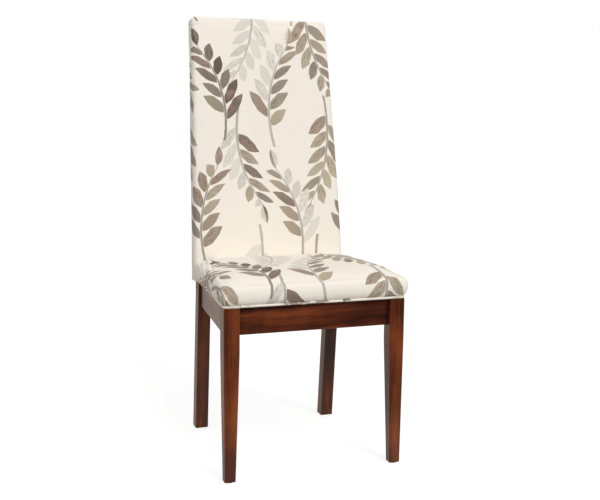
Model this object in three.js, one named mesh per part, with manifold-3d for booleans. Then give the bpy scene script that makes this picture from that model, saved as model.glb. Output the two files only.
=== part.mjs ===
// A dining chair: padded seat and tall padded back on a wooden frame with tapered front legs.
// Millimetres, +Z up. The chair faces -Y, the left side is -X, and x = 0 is its middle.
// While it is modelled, y = 0 is the front face of the front legs; at the end it is centred.

import * as THREE from 'three';
import { mergeVertices } from 'three/addons/utils/BufferGeometryUtils.js';
import Module from 'manifold-3d';

const wasm = await Module();
wasm.setup();

// General values
const fit = 0.3; // gap between pieces that meet
const overrun = 8; // how far a cutting shape runs past what it cuts
const left = -1;
const right = 1;

// Frame
const frontWidth = 457;
const rearWidth = 404;
const seatLine = 421; // top of the front legs and of the rails
const rearSetback = 359.5; // front legs' front face to rear legs' front face, at the seat line
const railHeight = 66.5;
const railThickness = 20;
const frontRailInset = 13;
const sideRailInset = 6.5;
const rearRailInset = 11;
const woodEdge = 1.5; // chamfer along the edges of the wood

// Front legs
const frontLegWidth = 38.5;
const frontLegDepth = 36;
const taperStart = 313;
const taperOuter = 2.3;
const taperInner = 9.3;
const taperFront = 1.8;
const taperRear = 10.4;

// Rear legs and back posts
const rearLegWidth = 34.5;
const rearLegDepth = 35;
const rearRake = 44.4; // how far the foot stands behind the seat line
const postTopWidth = 26;
const postDepth = 18.5;
const postLean = 21; // how far the post's outer face leans inwards up to its top
const postRoot = 20; // length of the post that runs down inside the leg

// Tenons
const tenonThickness = 9;
const tenonShoulder = 12;
const frontTenonLength = 15;
const sideTenonLength = 16;
const rearTenonLength = 10;

// Corner blocks
const blockHeight = 28;
const blockReach = 62;
const frontRailScrewPlace = 32; // along the front or rear rail, from the leg
const sideRailScrewPlace = 33; // along the side rail, from the leg
const seatScrewAside = 12; // from the leg's inner face
const seatScrewAlong = 16; // from the leg's face that meets the side rail

// Screws and glides
const screwRadius = 2;
const screwHeadRadius = 4;
const screwHeadHeight = 2.6;
const screwTip = 5;
const railScrewLength = 38;
const railScrewBite = 13;
const seatScrewLength = 38;
const glideRadius = 9;
const glideHeight = 2;
const nailRadius = 1.4;
const nailLength = 14;
const nailTip = 3;

// Seat
const seatFrontSetback = 4;
const seatFrontInset = 3.5; // from the front legs' outer faces
const seatRearInset = 2; // from the rear legs' outer faces
const seatHeight = 60; // at the front and rear, inwards of the edges
const seatPuff = 9; // extra height half way back
const seatBulge = 13;
const seatRimHeight = 50;
const seatSideReach = 45;
const seatFrontReach = 75;
const seatFrontCorner = 6;
const seatRearCorner = 5;
const coverThickness = 1.2;
const coverLip = 22;
const boardThickness = 12;
const dustCoverThickness = 0.8;
const weltRadius = 2.3;
const weltEndGap = 4;

// Back
const backProud = 1.5; // the back's face stands this far in front of the rear legs' front face
const backLength = 710; // along the face, from the seat line
const backRadius = 6800;
const backRake = THREE.MathUtils.degToRad(6.2);
const backThickness = 46;
const backFrontPadding = 18;
const backSidePadding = 10.5;
const backTopPadding = 12;
const backFrontCorner = 11;
const backRearCorner = 8;
const backTopRound = 12;
const backCrown = 3;
const backCrownStart = 60;
const backCrownFull = 220;
const backStep = 58;
const backBelow = 15;
const panelMargin = 9;
const topRailHeight = 52;
const middleRailHeight = 40;
const middleRailPlace = 350; // lower edge, from the seat line
const bottomRailHeight = 45;
const bottomRailPlace = 22;
const backTenonLength = 14;
const backTenonThickness = 8;
const backTenonShoulder = 6;
const webbingWidth = 50;
const webbingThickness = 1.3;
const webbingFirst = 110;
const webbingTopGap = 98; // from the last strap up to the top of the posts
const webbingCount = 5;
const webbingInset = 6;

// Shares: the seat's side profile as [share of the bulge, share of the rim's height]
const seatSideShares = [
  [0, 0], [0, 0.11], [0.5, 0.17], [0.85, 0.32], [1, 0.53], [0.97, 0.72], [0.8, 0.88], [0.45, 1],
];
const seatTopShares = [0.96, 0.9, 0.8, 0.6, 0.3];
const seatCornerGrowthShare = 0.5; // how much of the seat's bulge its front corners' radius takes up
const topRoundShares = [0, 0.33, 0.67, 1];

// Counts
const frontSegments = 8;
const sideSegments = 7;
const cornerSegments = 4;
const rearCornerSegments = 2;
const backFrontSegments = 10;
const backRearSegments = 6;
const backCornerSegments = 3;
const weltSides = 8;
const screwSides = 10;
const holeSides = 12;
const glideSides = 20;

// Finishes
const finishes = {
  wood: { color: 0x4f2716, roughness: 0.38, metalness: 0 },
  plywood: { color: 0xc6a778, roughness: 0.7, metalness: 0 },
  fabric: { color: 0xf0e8dc, roughness: 0.85, metalness: 0 },
  foam: { color: 0xe6d9a6, roughness: 0.95, metalness: 0 },
  webbing: { color: 0x8b7350, roughness: 0.9, metalness: 0 },
  dust_cloth: { color: 0x1c1c1e, roughness: 0.95, metalness: 0 },
  steel: { color: 0xb9b6a8, roughness: 0.35, metalness: 0.9 },
  glide: { color: 0x2e2a27, roughness: 0.5, metalness: 0 },
};

// Derived places
const frontHalf = frontWidth / 2;
const rearHalf = rearWidth / 2;
const footLine = glideHeight + fit;
const railBottom = seatLine - railHeight;
const frontLegInner = frontHalf - frontLegWidth;
const rearLegInner = rearHalf - rearLegWidth;
const frontRailRear = frontRailInset + railThickness;
const rearRailFront = rearSetback + rearRailInset;
const blockTop = seatLine - fit;
const blockBottom = blockTop - blockHeight;
const seatFrontHalf = frontHalf - seatFrontInset;
const seatRearHalf = rearHalf - seatRearInset;
const seatBottom = seatLine + fit;
const boardBottom = seatBottom + coverThickness + fit;
const boardTop = boardBottom + boardThickness;
const postNear = backFrontPadding;
const postFar = backFrontPadding + postDepth;
const postTop = backLength - backTopPadding;
const webbingPitch = (postTop - webbingTopGap - webbingWidth - webbingFirst) / (webbingCount - 1);
const backCentreY = rearSetback - backProud + backRadius * Math.cos(backRake);
const backCentreZ = seatLine - backRadius * Math.sin(backRake);

// Solids

function volumeOf(positions, index) {
  const a = new THREE.Vector3();
  const b = new THREE.Vector3();
  const c = new THREE.Vector3();
  let sum = 0;
  for (let i = 0; i < index.length; i += 3) {
    a.fromArray(positions, 3 * index[i]);
    b.fromArray(positions, 3 * index[i + 1]);
    c.fromArray(positions, 3 * index[i + 2]);
    sum += a.dot(b.cross(c));
  }
  return sum;
}

function turnFaces(index) {
  for (let i = 0; i < index.length; i += 3) {
    const kept = index[i + 1];
    index[i + 1] = index[i + 2];
    index[i + 2] = kept;
  }
}

// A closed three.js geometry as a solid, with its faces turned outwards.
function solidOf(geometry) {
  geometry.deleteAttribute('normal');
  geometry.deleteAttribute('uv');
  const merged = mergeVertices(geometry);
  const vertProperties = new Float32Array(merged.getAttribute('position').array);
  const triVerts = new Uint32Array(merged.getIndex().array);
  if (volumeOf(vertProperties, triVerts) < 0) turnFaces(triVerts);
  return new wasm.Manifold(new wasm.Mesh({ numProp: 3, vertProperties, triVerts }));
}

function geometryOf(solid) {
  const mesh = solid.getMesh();
  const geometry = new THREE.BufferGeometry();
  geometry.setAttribute('position', new THREE.BufferAttribute(mesh.vertProperties, 3));
  geometry.setIndex(new THREE.BufferAttribute(mesh.triVerts, 1));
  geometry.computeVertexNormals();
  return geometry;
}

// Triangles between two rings of points; either ring may be a single point.
function bridge(faces, low, lowCount, high, highCount) {
  const count = Math.max(lowCount, highCount);
  for (let i = 0; i < count; i += 1) {
    const next = (i + 1) % count;
    if (lowCount > 1) faces.push(low + i, low + next, high + (highCount > 1 ? next : 0));
    if (highCount > 1) faces.push(low + (lowCount > 1 ? i : 0), high + next, high + i);
  }
}

function closeRing(faces, start, count, isFirst) {
  for (let i = 1; i + 1 < count; i += 1) {
    if (isFirst) faces.push(start, start + i + 1, start + i);
    else faces.push(start, start + i, start + i + 1);
  }
}

// A solid through rings of [x, y, z] points, with flat or pointed ends.
function loft(rings) {
  const faces = [];
  let start = 0;
  closeRing(faces, start, rings[0].length, true);
  for (let i = 0; i + 1 < rings.length; i += 1) {
    const next = start + rings[i].length;
    bridge(faces, start, rings[i].length, next, rings[i + 1].length);
    start = next;
  }
  closeRing(faces, start, rings.at(-1).length, false);
  const geometry = new THREE.BufferGeometry();
  geometry.setAttribute('position', new THREE.Float32BufferAttribute(rings.flat(2), 3));
  geometry.setIndex(faces);
  return solidOf(geometry);
}

function block(x0, x1, y0, y1, z0, z1) {
  const box = new THREE.BoxGeometry(Math.abs(x1 - x0), y1 - y0, z1 - z0);
  return solidOf(box.translate((x0 + x1) / 2, (y0 + y1) / 2, (z0 + z1) / 2));
}

function prism(outline, z0, z1) {
  const shape = new THREE.Shape(outline.map(([x, y]) => new THREE.Vector2(x, y)));
  const body = new THREE.ExtrudeGeometry(shape, { depth: z1 - z0, bevelEnabled: false });
  return solidOf(body.translate(0, 0, z0));
}

function aim(geometry, start, direction) {
  const turn = new THREE.Quaternion().setFromUnitVectors(new THREE.Vector3(0, 1, 0), direction);
  return solidOf(geometry.applyQuaternion(turn).translate(start.x, start.y, start.z));
}

function rod(start, direction, length, radius) {
  const body = new THREE.CylinderGeometry(radius, radius, length, holeSides);
  return aim(body.translate(0, length / 2, 0), start, direction);
}

function lathe(profile, sides, start, direction) {
  const points = profile.map(([radius, along]) => new THREE.Vector2(radius, along));
  return aim(new THREE.LatheGeometry(points, sides), start, direction);
}

function easedRectangle(x0, x1, y0, y1) {
  const e = woodEdge;
  return [[x0 + e, y0], [x1 - e, y0], [x1, y0 + e], [x1, y1 - e],
    [x1 - e, y1], [x0 + e, y1], [x0, y1 - e], [x0, y0 + e]];
}

// Front legs

function frontLegRing(side, z, taper) {
  const inner = frontLegInner + taper * taperInner;
  const outer = frontHalf - taper * taperOuter;
  const front = taper * taperFront;
  const rear = frontLegDepth - taper * taperRear;
  return easedRectangle(inner, outer, front, rear).map(([x, y]) => [side * x, y, z]);
}

function frontLegBody(side) {
  const foot = frontLegRing(side, footLine, 1);
  return loft([foot, frontLegRing(side, taperStart, 0), frontLegRing(side, seatLine, 0)]);
}

// Rear legs

function rearLegFront(z) {
  return rearSetback + rearRake * (seatLine - z) / seatLine;
}

function rearLegRing(side, z) {
  const front = rearLegFront(z);
  const outline = easedRectangle(rearLegInner, rearHalf, front, front + rearLegDepth);
  return outline.map(([x, y]) => [side * x, y, z]);
}

// Side rails: their outer face runs straight from the front leg to the rear leg

function sideRailOuter(y) {
  const share = (y - frontLegDepth) / (rearSetback - frontLegDepth);
  return THREE.MathUtils.lerp(frontHalf, rearHalf, share) - sideRailInset;
}

function sideRailInner(y) {
  return sideRailOuter(y) - railThickness;
}

function sideRailRing(side, placeY, near, far, z0, z1) {
  const corners = [[near, z0], [far, z0], [far, z1], [near, z1]];
  return corners.map(([inset, z]) => [side * (sideRailOuter(placeY(z)) - inset), placeY(z), z]);
}

// The tenon at the front or rear end of a side rail; grow makes it its mortise.
function sideTenon(side, placeY, length, grow) {
  const near = (railThickness - tenonThickness) / 2 - grow;
  const far = (railThickness + tenonThickness) / 2 + grow;
  const z0 = railBottom + tenonShoulder - grow;
  const z1 = seatLine - tenonShoulder + grow;
  const middle = sideRailRing(side, placeY, near, far, z0, z1);
  const end = sideRailRing(side, (z) => placeY(z) + length, near, far, z0, z1);
  return loft([middle, end]);
}

function sideRail(side) {
  const front = () => frontLegDepth + fit;
  const rear = (z) => rearLegFront(z) - fit;
  const ends = [front, rear];
  const rings = ends.map((place) => sideRailRing(side, place, 0, railThickness, railBottom, seatLine));
  const frontTenon = sideTenon(side, () => frontLegDepth + overrun, -(sideTenonLength + overrun), 0);
  const rearTenon = sideTenon(side, (z) => rearLegFront(z) - overrun, sideTenonLength + overrun, 0);
  return loft(rings).add(frontTenon).add(rearTenon);
}

function frontMortise(side) {
  const length = sideTenonLength + overrun + fit;
  return sideTenon(side, () => frontLegDepth + overrun, -length, fit);
}

function rearMortise(side) {
  const length = sideTenonLength + overrun + fit;
  return sideTenon(side, (z) => rearLegFront(z) - overrun, length, fit);
}

// Front and rear rails, straight across between the legs

function crossTenon(half, length, y0, grow) {
  const near = y0 + (railThickness - tenonThickness) / 2 - grow;
  const far = y0 + (railThickness + tenonThickness) / 2 + grow;
  const reach = half + length + grow;
  return block(-reach, reach, near, far, railBottom + tenonShoulder - grow, seatLine - tenonShoulder + grow);
}

function crossRail(half, length, y0) {
  const shoulder = half - fit;
  const body = block(-shoulder, shoulder, y0, y0 + railThickness, railBottom, seatLine);
  return body.add(crossTenon(half, length, y0, 0));
}

// Screws

function screw(head, direction, length) {
  const profile = [[0, 0], [screwHeadRadius, 0], [screwRadius, screwHeadHeight],
    [screwRadius, length - screwTip], [0, length]];
  return lathe(profile, screwSides, head, direction);
}

function screwHole(head, direction, length) {
  const pocketStart = head.clone().addScaledVector(direction, -blockReach);
  const pocket = rod(pocketStart, direction, blockReach + screwHeadHeight + fit, screwHeadRadius + fit);
  return rod(head, direction, length + fit, screwRadius + fit).add(pocket);
}

// Corner blocks. Towards is -1 at the front and 1 at the rear.

const corners = [
  { name: 'front_left', side: left, towards: -1 },
  { name: 'front_right', side: right, towards: -1 },
  { name: 'rear_left', side: left, towards: 1 },
  { name: 'rear_right', side: right, towards: 1 },
];

function cornerPlaces({ towards }) {
  const isFront = towards < 0;
  const legInner = isFront ? frontLegInner : rearLegInner;
  const legFace = isFront ? frontLegDepth : rearSetback;
  const railFace = isFront ? frontRailRear : rearRailFront;
  return { legInner, legFace, railFace };
}

function cornerBlockBody(corner) {
  const { legInner, legFace, railFace } = cornerPlaces(corner);
  const gap = corner.towards * fit;
  const sideEnd = legFace - corner.towards * blockReach;
  const outline = [
    [legInner - blockReach, railFace - gap],
    [legInner - fit, railFace - gap],
    [legInner - fit, legFace - gap],
    [sideRailInner(legFace - gap) - fit, legFace - gap],
    [sideRailInner(sideEnd) - fit, sideEnd],
  ];
  return prism(outline.map(([x, y]) => [corner.side * x, y]), blockBottom, blockTop);
}

function cornerScrews(corner) {
  const { side, towards } = corner;
  const { legInner, legFace, railFace } = cornerPlaces(corner);
  const z = blockTop - blockHeight / 2;
  const sideY = legFace - towards * sideRailScrewPlace;
  const start = railScrewLength - railScrewBite;
  const seatY = legFace - towards * seatScrewAlong;
  return [
    {
      name: `cross_rail_screw_${corner.name}`,
      head: new THREE.Vector3(side * (legInner - frontRailScrewPlace), railFace - towards * start, z),
      direction: new THREE.Vector3(0, towards, 0),
      length: railScrewLength,
    },
    {
      name: `side_rail_screw_${corner.name}`,
      head: new THREE.Vector3(side * (sideRailInner(sideY) - start), sideY, z),
      direction: new THREE.Vector3(side, 0, 0),
      length: railScrewLength,
    },
    {
      name: `seat_screw_${corner.name}`,
      head: new THREE.Vector3(side * (legInner - seatScrewAside), seatY, blockBottom),
      direction: new THREE.Vector3(0, 0, 1),
      length: seatScrewLength,
    },
  ];
}

const screws = corners.flatMap(cornerScrews);

function drilled(solid) {
  const holes = screws.map(({ head, direction, length }) => screwHole(head, direction, length));
  return holes.reduce((body, hole) => body.subtract(hole), solid);
}

// Glides: a disc under each foot, held by its nail

function glidePlaces() {
  const frontX = (frontLegInner + taperInner + frontHalf - taperOuter) / 2;
  const frontY = (taperFront + frontLegDepth - taperRear) / 2;
  const rearX = rearHalf - rearLegWidth / 2;
  const rearY = rearLegFront(footLine) + rearLegDepth / 2;
  return corners.map(({ name, side, towards }) => {
    const x = towards < 0 ? frontX : rearX;
    return { name: `glide_${name}`, place: new THREE.Vector3(side * x, towards < 0 ? frontY : rearY, 0) };
  });
}

const upwards = new THREE.Vector3(0, 0, 1);
const glides = glidePlaces();

function glide(place) {
  const profile = [[0, 0], [glideRadius, 0], [glideRadius, glideHeight], [nailRadius, glideHeight],
    [nailRadius, glideHeight + nailLength - nailTip], [0, glideHeight + nailLength]];
  return lathe(profile, glideSides, place, upwards);
}

function nailed(solid) {
  return glides.reduce((body, { place }) => body.subtract(
    rod(place, upwards, glideHeight + nailLength + fit, nailRadius + fit),
  ), solid);
}

// The back. Its pieces are placed by x, by depth behind the face and by length up the face.

function backPoint(x, depth, up) {
  const angle = backRake + up / backRadius;
  const reach = backRadius - depth;
  return [x, backCentreY - reach * Math.cos(angle), backCentreZ + reach * Math.sin(angle)];
}

function backFaceY(z) {
  const angle = Math.asin((z - backCentreZ) / backRadius);
  return backCentreY - backRadius * Math.cos(angle);
}

function postOuter(up) {
  return rearHalf - postLean * up / postTop;
}

function postInner(up) {
  return postOuter(up) - THREE.MathUtils.lerp(rearLegWidth, postTopWidth, up / postTop);
}

function backStations(from, to) {
  const stations = [from];
  for (let up = Math.ceil(from / backStep) * backStep; up < to; up += backStep) {
    if (up > from) stations.push(up);
  }
  stations.push(to);
  return stations;
}

// A block in the back that follows its curve; x0 and x1 are functions of the length up the face.
function backBlock(x0, x1, near, far, from, to) {
  return loft(backStations(from, to).map((up) => [
    backPoint(x0(up), near, up),
    backPoint(x1(up), near, up),
    backPoint(x1(up), far, up),
    backPoint(x0(up), far, up),
  ]));
}

// Points round a back section, inset from its outer surface; shrink is taken off all round it.
function backSection(half, inset, shrink, up) {
  const x = half - inset - shrink;
  const near = inset + shrink;
  const far = backThickness - inset - shrink;
  const front = Math.max(backFrontCorner - inset - shrink / 2, fit);
  const rear = Math.max(backRearCorner - inset - shrink / 2, fit);
  const arcs = [
    { cx: -x + front, cd: near + front, r: front, from: Math.PI },
    { cx: x - front, cd: near + front, r: front, from: 1.5 * Math.PI },
    { cx: x - rear, cd: far - rear, r: rear, from: 0 },
    { cx: -x + rear, cd: far - rear, r: rear, from: 0.5 * Math.PI },
  ];
  const straights = [backFrontSegments, 1, backRearSegments, 1];
  const points = arcs.flatMap((arc, i) => {
    const corner = arcPoints(arc, backCornerSegments);
    const next = arcPoints(arcs[(i + 1) % arcs.length], backCornerSegments)[0];
    return [...corner, ...betweenPoints(corner.at(-1), next, straights[i])];
  });
  return points.map(([px, depth]) => backPoint(px, depth - crownAt(px, depth, half, up), up));
}

function arcPoints({ cx, cd, r, from }, segments) {
  return Array.from({ length: segments + 1 }, (_, i) => {
    const angle = from + (i / segments) * Math.PI / 2;
    return [cx + r * Math.cos(angle), cd + r * Math.sin(angle)];
  });
}

function betweenPoints(a, b, segments) {
  return Array.from({ length: segments - 1 }, (_, i) => {
    const share = (i + 1) / segments;
    return [THREE.MathUtils.lerp(a[0], b[0], share), THREE.MathUtils.lerp(a[1], b[1], share)];
  });
}

// The face of the back is slightly domed above the seat.
function crownAt(x, depth, half, up) {
  const across = 1 - (x / half) ** 2;
  const rise = THREE.MathUtils.smoothstep(up, backCrownStart, backCrownFull);
  const fall = 1 - THREE.MathUtils.smoothstep(up, backLength - backCrownStart, backLength);
  const inFront = Math.max(1 - depth / backFrontPadding, 0);
  return backCrown * Math.max(across, 0) * rise * fall * inFront;
}

function backHalf(up) {
  return postOuter(up) + backSidePadding;
}

// The padded back as one solid from this place up, inset from its outer surface.
function backSolid(inset, from) {
  const round = backTopRound - inset;
  const shoulder = backLength - inset - round;
  const stations = backStations(from, shoulder - fit);
  const rings = stations.map((up) => backSection(backHalf(up), inset, 0, up));
  for (const share of topRoundShares) {
    const angle = share * Math.PI / 2;
    const up = shoulder + round * Math.sin(angle);
    rings.push(backSection(backHalf(up), inset, round * (1 - Math.cos(angle)), up));
  }
  return loft(rings);
}

function backEnvelope(inset) {
  return cutBelow(backSolid(inset, -backBelow), seatBottom);
}

function cutBelow(solid, z) {
  const wide = frontWidth;
  const deep = rearSetback + rearRake + rearLegDepth;
  return solid.subtract(block(-wide, wide, -deep, 2 * deep, -seatLine, z));
}

const paddingInset = coverThickness + fit;
const farLeft = () => -frontWidth;
const farRight = () => frontWidth;
const negative = (width) => (up) => -width(up);
const belowBack = -2 * backBelow;
const aboveBack = backLength + overrun;
const foamFar = postNear - webbingThickness - 2 * fit;
const padNear = postFar + fit;

function backPadding(x0, x1, near, far, from, to) {
  return backEnvelope(paddingInset).intersect(backBlock(x0, x1, near, far, from, to));
}

function sidePadding(side) {
  const inner = (up) => side * (postOuter(up) + fit);
  const outer = side < 0 ? farLeft : farRight;
  return backPadding(inner, outer, foamFar + fit, padNear - fit, belowBack, postTop);
}

function topPadding() {
  return backPadding(farLeft, farRight, foamFar + fit, padNear - fit, postTop + fit, aboveBack);
}

function panelWindow(grow) {
  const half = (up) => backHalf(up) - panelMargin + grow;
  const top = backLength - panelMargin - backTopRound + grow;
  return backBlock(negative(half), half, postFar, backThickness + overrun, belowBack, top);
}

// The back's whole cloth, open below.
const backShell = backEnvelope(0).subtract(backSolid(coverThickness, belowBack));

const backRails = [
  { name: 'back_top_rail', from: postTop - topRailHeight, height: topRailHeight },
  { name: 'back_middle_rail', from: middleRailPlace, height: middleRailHeight },
  { name: 'back_bottom_rail', from: bottomRailPlace, height: bottomRailHeight },
];

function backTenons({ from, height }, grow) {
  const half = (up) => postInner(up) + backTenonLength + grow;
  const near = postNear + (postDepth - backTenonThickness) / 2 - grow;
  const far = postNear + (postDepth + backTenonThickness) / 2 + grow;
  const low = from + backTenonShoulder - grow;
  return backBlock(negative(half), half, near, far, low, from + height - backTenonShoulder + grow);
}

function backRail(rail) {
  const half = (up) => postInner(up) - fit;
  const body = backBlock(negative(half), half, postNear, postFar, rail.from, rail.from + rail.height);
  return body.add(backTenons(rail, 0));
}

function rearPost(side) {
  const leg = loft([rearLegRing(side, footLine), rearLegRing(side, seatLine)]);
  const inner = (up) => side * postInner(up);
  const outer = (up) => side * postOuter(up);
  const post = backBlock(inner, outer, postNear, postFar, -postRoot, postTop);
  const mortised = backRails.reduce((body, rail) => body.subtract(backTenons(rail, fit)), leg.add(post));
  const rearRailTenon = crossTenon(rearLegInner, rearTenonLength, rearRailFront, fit);
  return nailed(mortised.subtract(rearRailTenon).subtract(rearMortise(side)));
}

function frontLeg(side) {
  const frontRailTenon = crossTenon(frontLegInner, frontTenonLength, frontRailInset, fit);
  return nailed(frontLegBody(side).subtract(frontRailTenon).subtract(frontMortise(side)));
}

// The seat

function seatRing(grow, inset, z) {
  const front = seatFrontSetback - grow;
  const rear = backFaceY(z) - fit - inset;
  const halfFront = seatFrontHalf + grow;
  const halfRear = seatRearHalf + grow;
  const rf = Math.max(seatFrontCorner + seatCornerGrowthShare * grow, fit);
  const rr = Math.max(seatRearCorner - inset, fit);
  const arcs = [
    { cx: -halfFront + rf, cd: front + rf, r: rf, from: Math.PI },
    { cx: halfFront - rf, cd: front + rf, r: rf, from: 1.5 * Math.PI },
    { cx: halfRear - rr, cd: rear - rr, r: rr, from: 0 },
    { cx: -halfRear + rr, cd: rear - rr, r: rr, from: 0.5 * Math.PI },
  ];
  const corner = [cornerSegments, cornerSegments, rearCornerSegments, rearCornerSegments];
  const straights = [frontSegments, sideSegments, frontSegments, sideSegments];
  return arcs.flatMap((arc, i) => {
    const points = arcPoints(arc, corner[i]);
    const next = arcPoints(arcs[(i + 1) % arcs.length], 1)[0];
    return [...points, ...betweenPoints(points.at(-1), next, straights[i])];
  });
}

function crownRise(distance, reach) {
  return 1 - (1 - THREE.MathUtils.clamp(distance / reach, 0, 1)) ** 2;
}

function seatLift(y) {
  const share = THREE.MathUtils.clamp(y / rearSetback, 0, 1);
  return seatPuff * 4 * share * (1 - share);
}

function seatTopZ(x, y) {
  const share = THREE.MathUtils.clamp(y / rearSetback, 0, 1);
  const half = THREE.MathUtils.lerp(seatFrontHalf, seatRearHalf, share);
  const fromSide = crownRise(half - Math.abs(x), seatSideReach);
  const fromFront = crownRise(y - seatFrontSetback, seatFrontReach);
  const crown = (seatHeight - seatRimHeight) * fromSide * fromFront;
  return seatBottom + seatRimHeight + seatLift(y) + crown;
}

// The seat's side profile as points of growth and height, moved inwards square to itself.
function seatProfile(inset, bottom) {
  const points = seatSideShares.map(([bulge, rise]) => (
    new THREE.Vector2(bulge * seatBulge, seatBottom + rise * seatRimHeight)));
  return points.map((point, i) => {
    const before = points[Math.max(i - 1, 0)];
    const after = i + 1 < points.length ? points[i + 1] : point.clone().setX(0);
    const run = after.clone().sub(before).normalize();
    const z = i === 0 ? bottom : point.y + run.x * inset;
    return { grow: point.x - run.y * inset, z, rise: seatSideShares[i][1] };
  });
}

// The padded seat as one solid with drawn-in sides and a crown, inset from its outer surface.
function seatEnvelope(inset, bottom) {
  const sides = seatProfile(inset, bottom);
  const rings = sides.map(({ grow, z, rise }) => (
    seatRing(grow, inset, z).map(([x, y]) => [x, y, z + rise ** 2 * seatLift(y)])));
  const rim = sides.at(-1);
  const outline = seatRing(rim.grow, inset, rim.z);
  const middle = rearSetback / 2;
  for (const share of seatTopShares) {
    rings.push(outline.map(([x, y]) => {
      const [px, py] = [x * share, middle + (y - middle) * share];
      return [px, py, seatTopZ(px, py) - inset];
    }));
  }
  rings.push([[0, middle, seatTopZ(0, middle) - inset]]);
  return loft(rings);
}

function seatOutline(inset) {
  return seatRing(-inset, inset, seatBottom);
}

function seatCover() {
  const inside = seatEnvelope(coverThickness, seatBottom + coverThickness);
  const window = prism(seatOutline(coverLip), seatBottom - overrun, boardTop);
  return seatEnvelope(0, seatBottom).subtract(inside).subtract(window);
}

function seatFoam() {
  return cutBelow(seatEnvelope(paddingInset, boardBottom), boardTop + fit);
}

// The welt: a round cord along the sides and front of the seat's lower edge.
function weltRing([x, y], [dx, dy], z) {
  return Array.from({ length: weltSides }, (_, i) => {
    const angle = (i / weltSides) * 2 * Math.PI;
    const across = weltRadius * Math.cos(angle);
    return [x + dy * across, y - dx * across, z + weltRadius * Math.sin(angle)];
  });
}

function seatWelt() {
  const outline = seatRing(weltRadius + fit, 0, seatBottom);
  const frontCount = 2 * (cornerSegments + 1) + frontSegments - 1;
  const sideStart = outline[frontCount - 1];
  const sideEnd = outline[frontCount + sideSegments - 1];
  const share = 1 - weltEndGap / (sideEnd[1] - sideStart[1]);
  const endX = THREE.MathUtils.lerp(sideStart[0], sideEnd[0], share);
  const endY = THREE.MathUtils.lerp(sideStart[1], sideEnd[1], share);
  const path = [[-endX, endY], ...outline.slice(0, frontCount), [endX, endY]];
  const z = seatBottom + weltRadius;
  return loft(path.map((point, i) => {
    const before = path[Math.max(i - 1, 0)];
    const after = path[Math.min(i + 1, path.length - 1)];
    const run = new THREE.Vector2(after[0] - before[0], after[1] - before[1]).normalize();
    return weltRing(point, [run.x, run.y], z);
  }));
}

// The chair

const chair = new THREE.Group();

function addPiece(name, solid, finish) {
  const piece = new THREE.Mesh(geometryOf(solid), new THREE.MeshStandardMaterial(finishes[finish]));
  piece.name = name;
  chair.add(piece);
}

function addFrame() {
  addPiece('front_left_leg', frontLeg(left), 'wood');
  addPiece('front_right_leg', frontLeg(right), 'wood');
  addPiece('rear_left_post', rearPost(left), 'wood');
  addPiece('rear_right_post', rearPost(right), 'wood');
  addPiece('front_rail', drilled(crossRail(frontLegInner, frontTenonLength, frontRailInset)), 'wood');
  addPiece('rear_rail', drilled(crossRail(rearLegInner, rearTenonLength, rearRailFront)), 'wood');
  addPiece('left_side_rail', drilled(sideRail(left)), 'wood');
  addPiece('right_side_rail', drilled(sideRail(right)), 'wood');
}

function addCorners() {
  for (const corner of corners) {
    addPiece(`corner_block_${corner.name}`, drilled(cornerBlockBody(corner)), 'plywood');
  }
  for (const item of screws) {
    addPiece(item.name, screw(item.head, item.direction, item.length), 'steel');
  }
  for (const { name, place } of glides) {
    addPiece(name, glide(place), 'glide');
  }
}

function addSeat() {
  const board = prism(seatOutline(paddingInset), boardBottom, boardTop);
  const clothTop = boardBottom - fit;
  const dustCover = prism(seatOutline(coverLip + fit), clothTop - dustCoverThickness, clothTop);
  addPiece('seat_board', drilled(board), 'plywood');
  addPiece('seat_foam', seatFoam(), 'foam');
  addPiece('seat_cover', drilled(seatCover()), 'fabric');
  addPiece('seat_welt', seatWelt(), 'fabric');
  addPiece('seat_dust_cover', drilled(dustCover), 'dust_cloth');
}

function addWebbing() {
  const half = (up) => postOuter(up) - webbingInset;
  for (let i = 0; i < webbingCount; i += 1) {
    const from = webbingFirst + i * webbingPitch;
    const strap = backBlock(negative(half), half, postNear - fit - webbingThickness, postNear - fit,
      from, from + webbingWidth);
    addPiece(`back_webbing_${i + 1}`, strap, 'webbing');
  }
}

function addBack() {
  for (const rail of backRails) addPiece(rail.name, backRail(rail), 'plywood');
  addWebbing();
  const foam = backPadding(farLeft, farRight, -overrun, foamFar, belowBack, aboveBack);
  const rearFar = backThickness + overrun;
  const rearPadding = backPadding(farLeft, farRight, padNear, rearFar, belowBack, aboveBack);
  addPiece('back_foam', foam, 'foam');
  addPiece('back_left_padding', sidePadding(left), 'foam');
  addPiece('back_right_padding', sidePadding(right), 'foam');
  addPiece('back_top_padding', topPadding(), 'foam');
  addPiece('back_rear_padding', rearPadding, 'foam');
  addPiece('back_cover', backShell.subtract(panelWindow(0)), 'fabric');
  addPiece('back_outer_panel', backShell.intersect(panelWindow(-fit)), 'fabric');
}

addFrame();
addCorners();
addSeat();
addBack();

const bounds = new THREE.Box3().setFromObject(chair);
chair.position.y = -(bounds.min.y + bounds.max.y) / 2;

export default chair;
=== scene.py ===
# A dining chair: padded seat and tall padded back in leafy cloth, on a dark wooden frame.
# Metres, +Z up. The chair faces -Y, the left side is -X, and x = 0 is its middle.

from math import cos, pi, radians, sin

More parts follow.
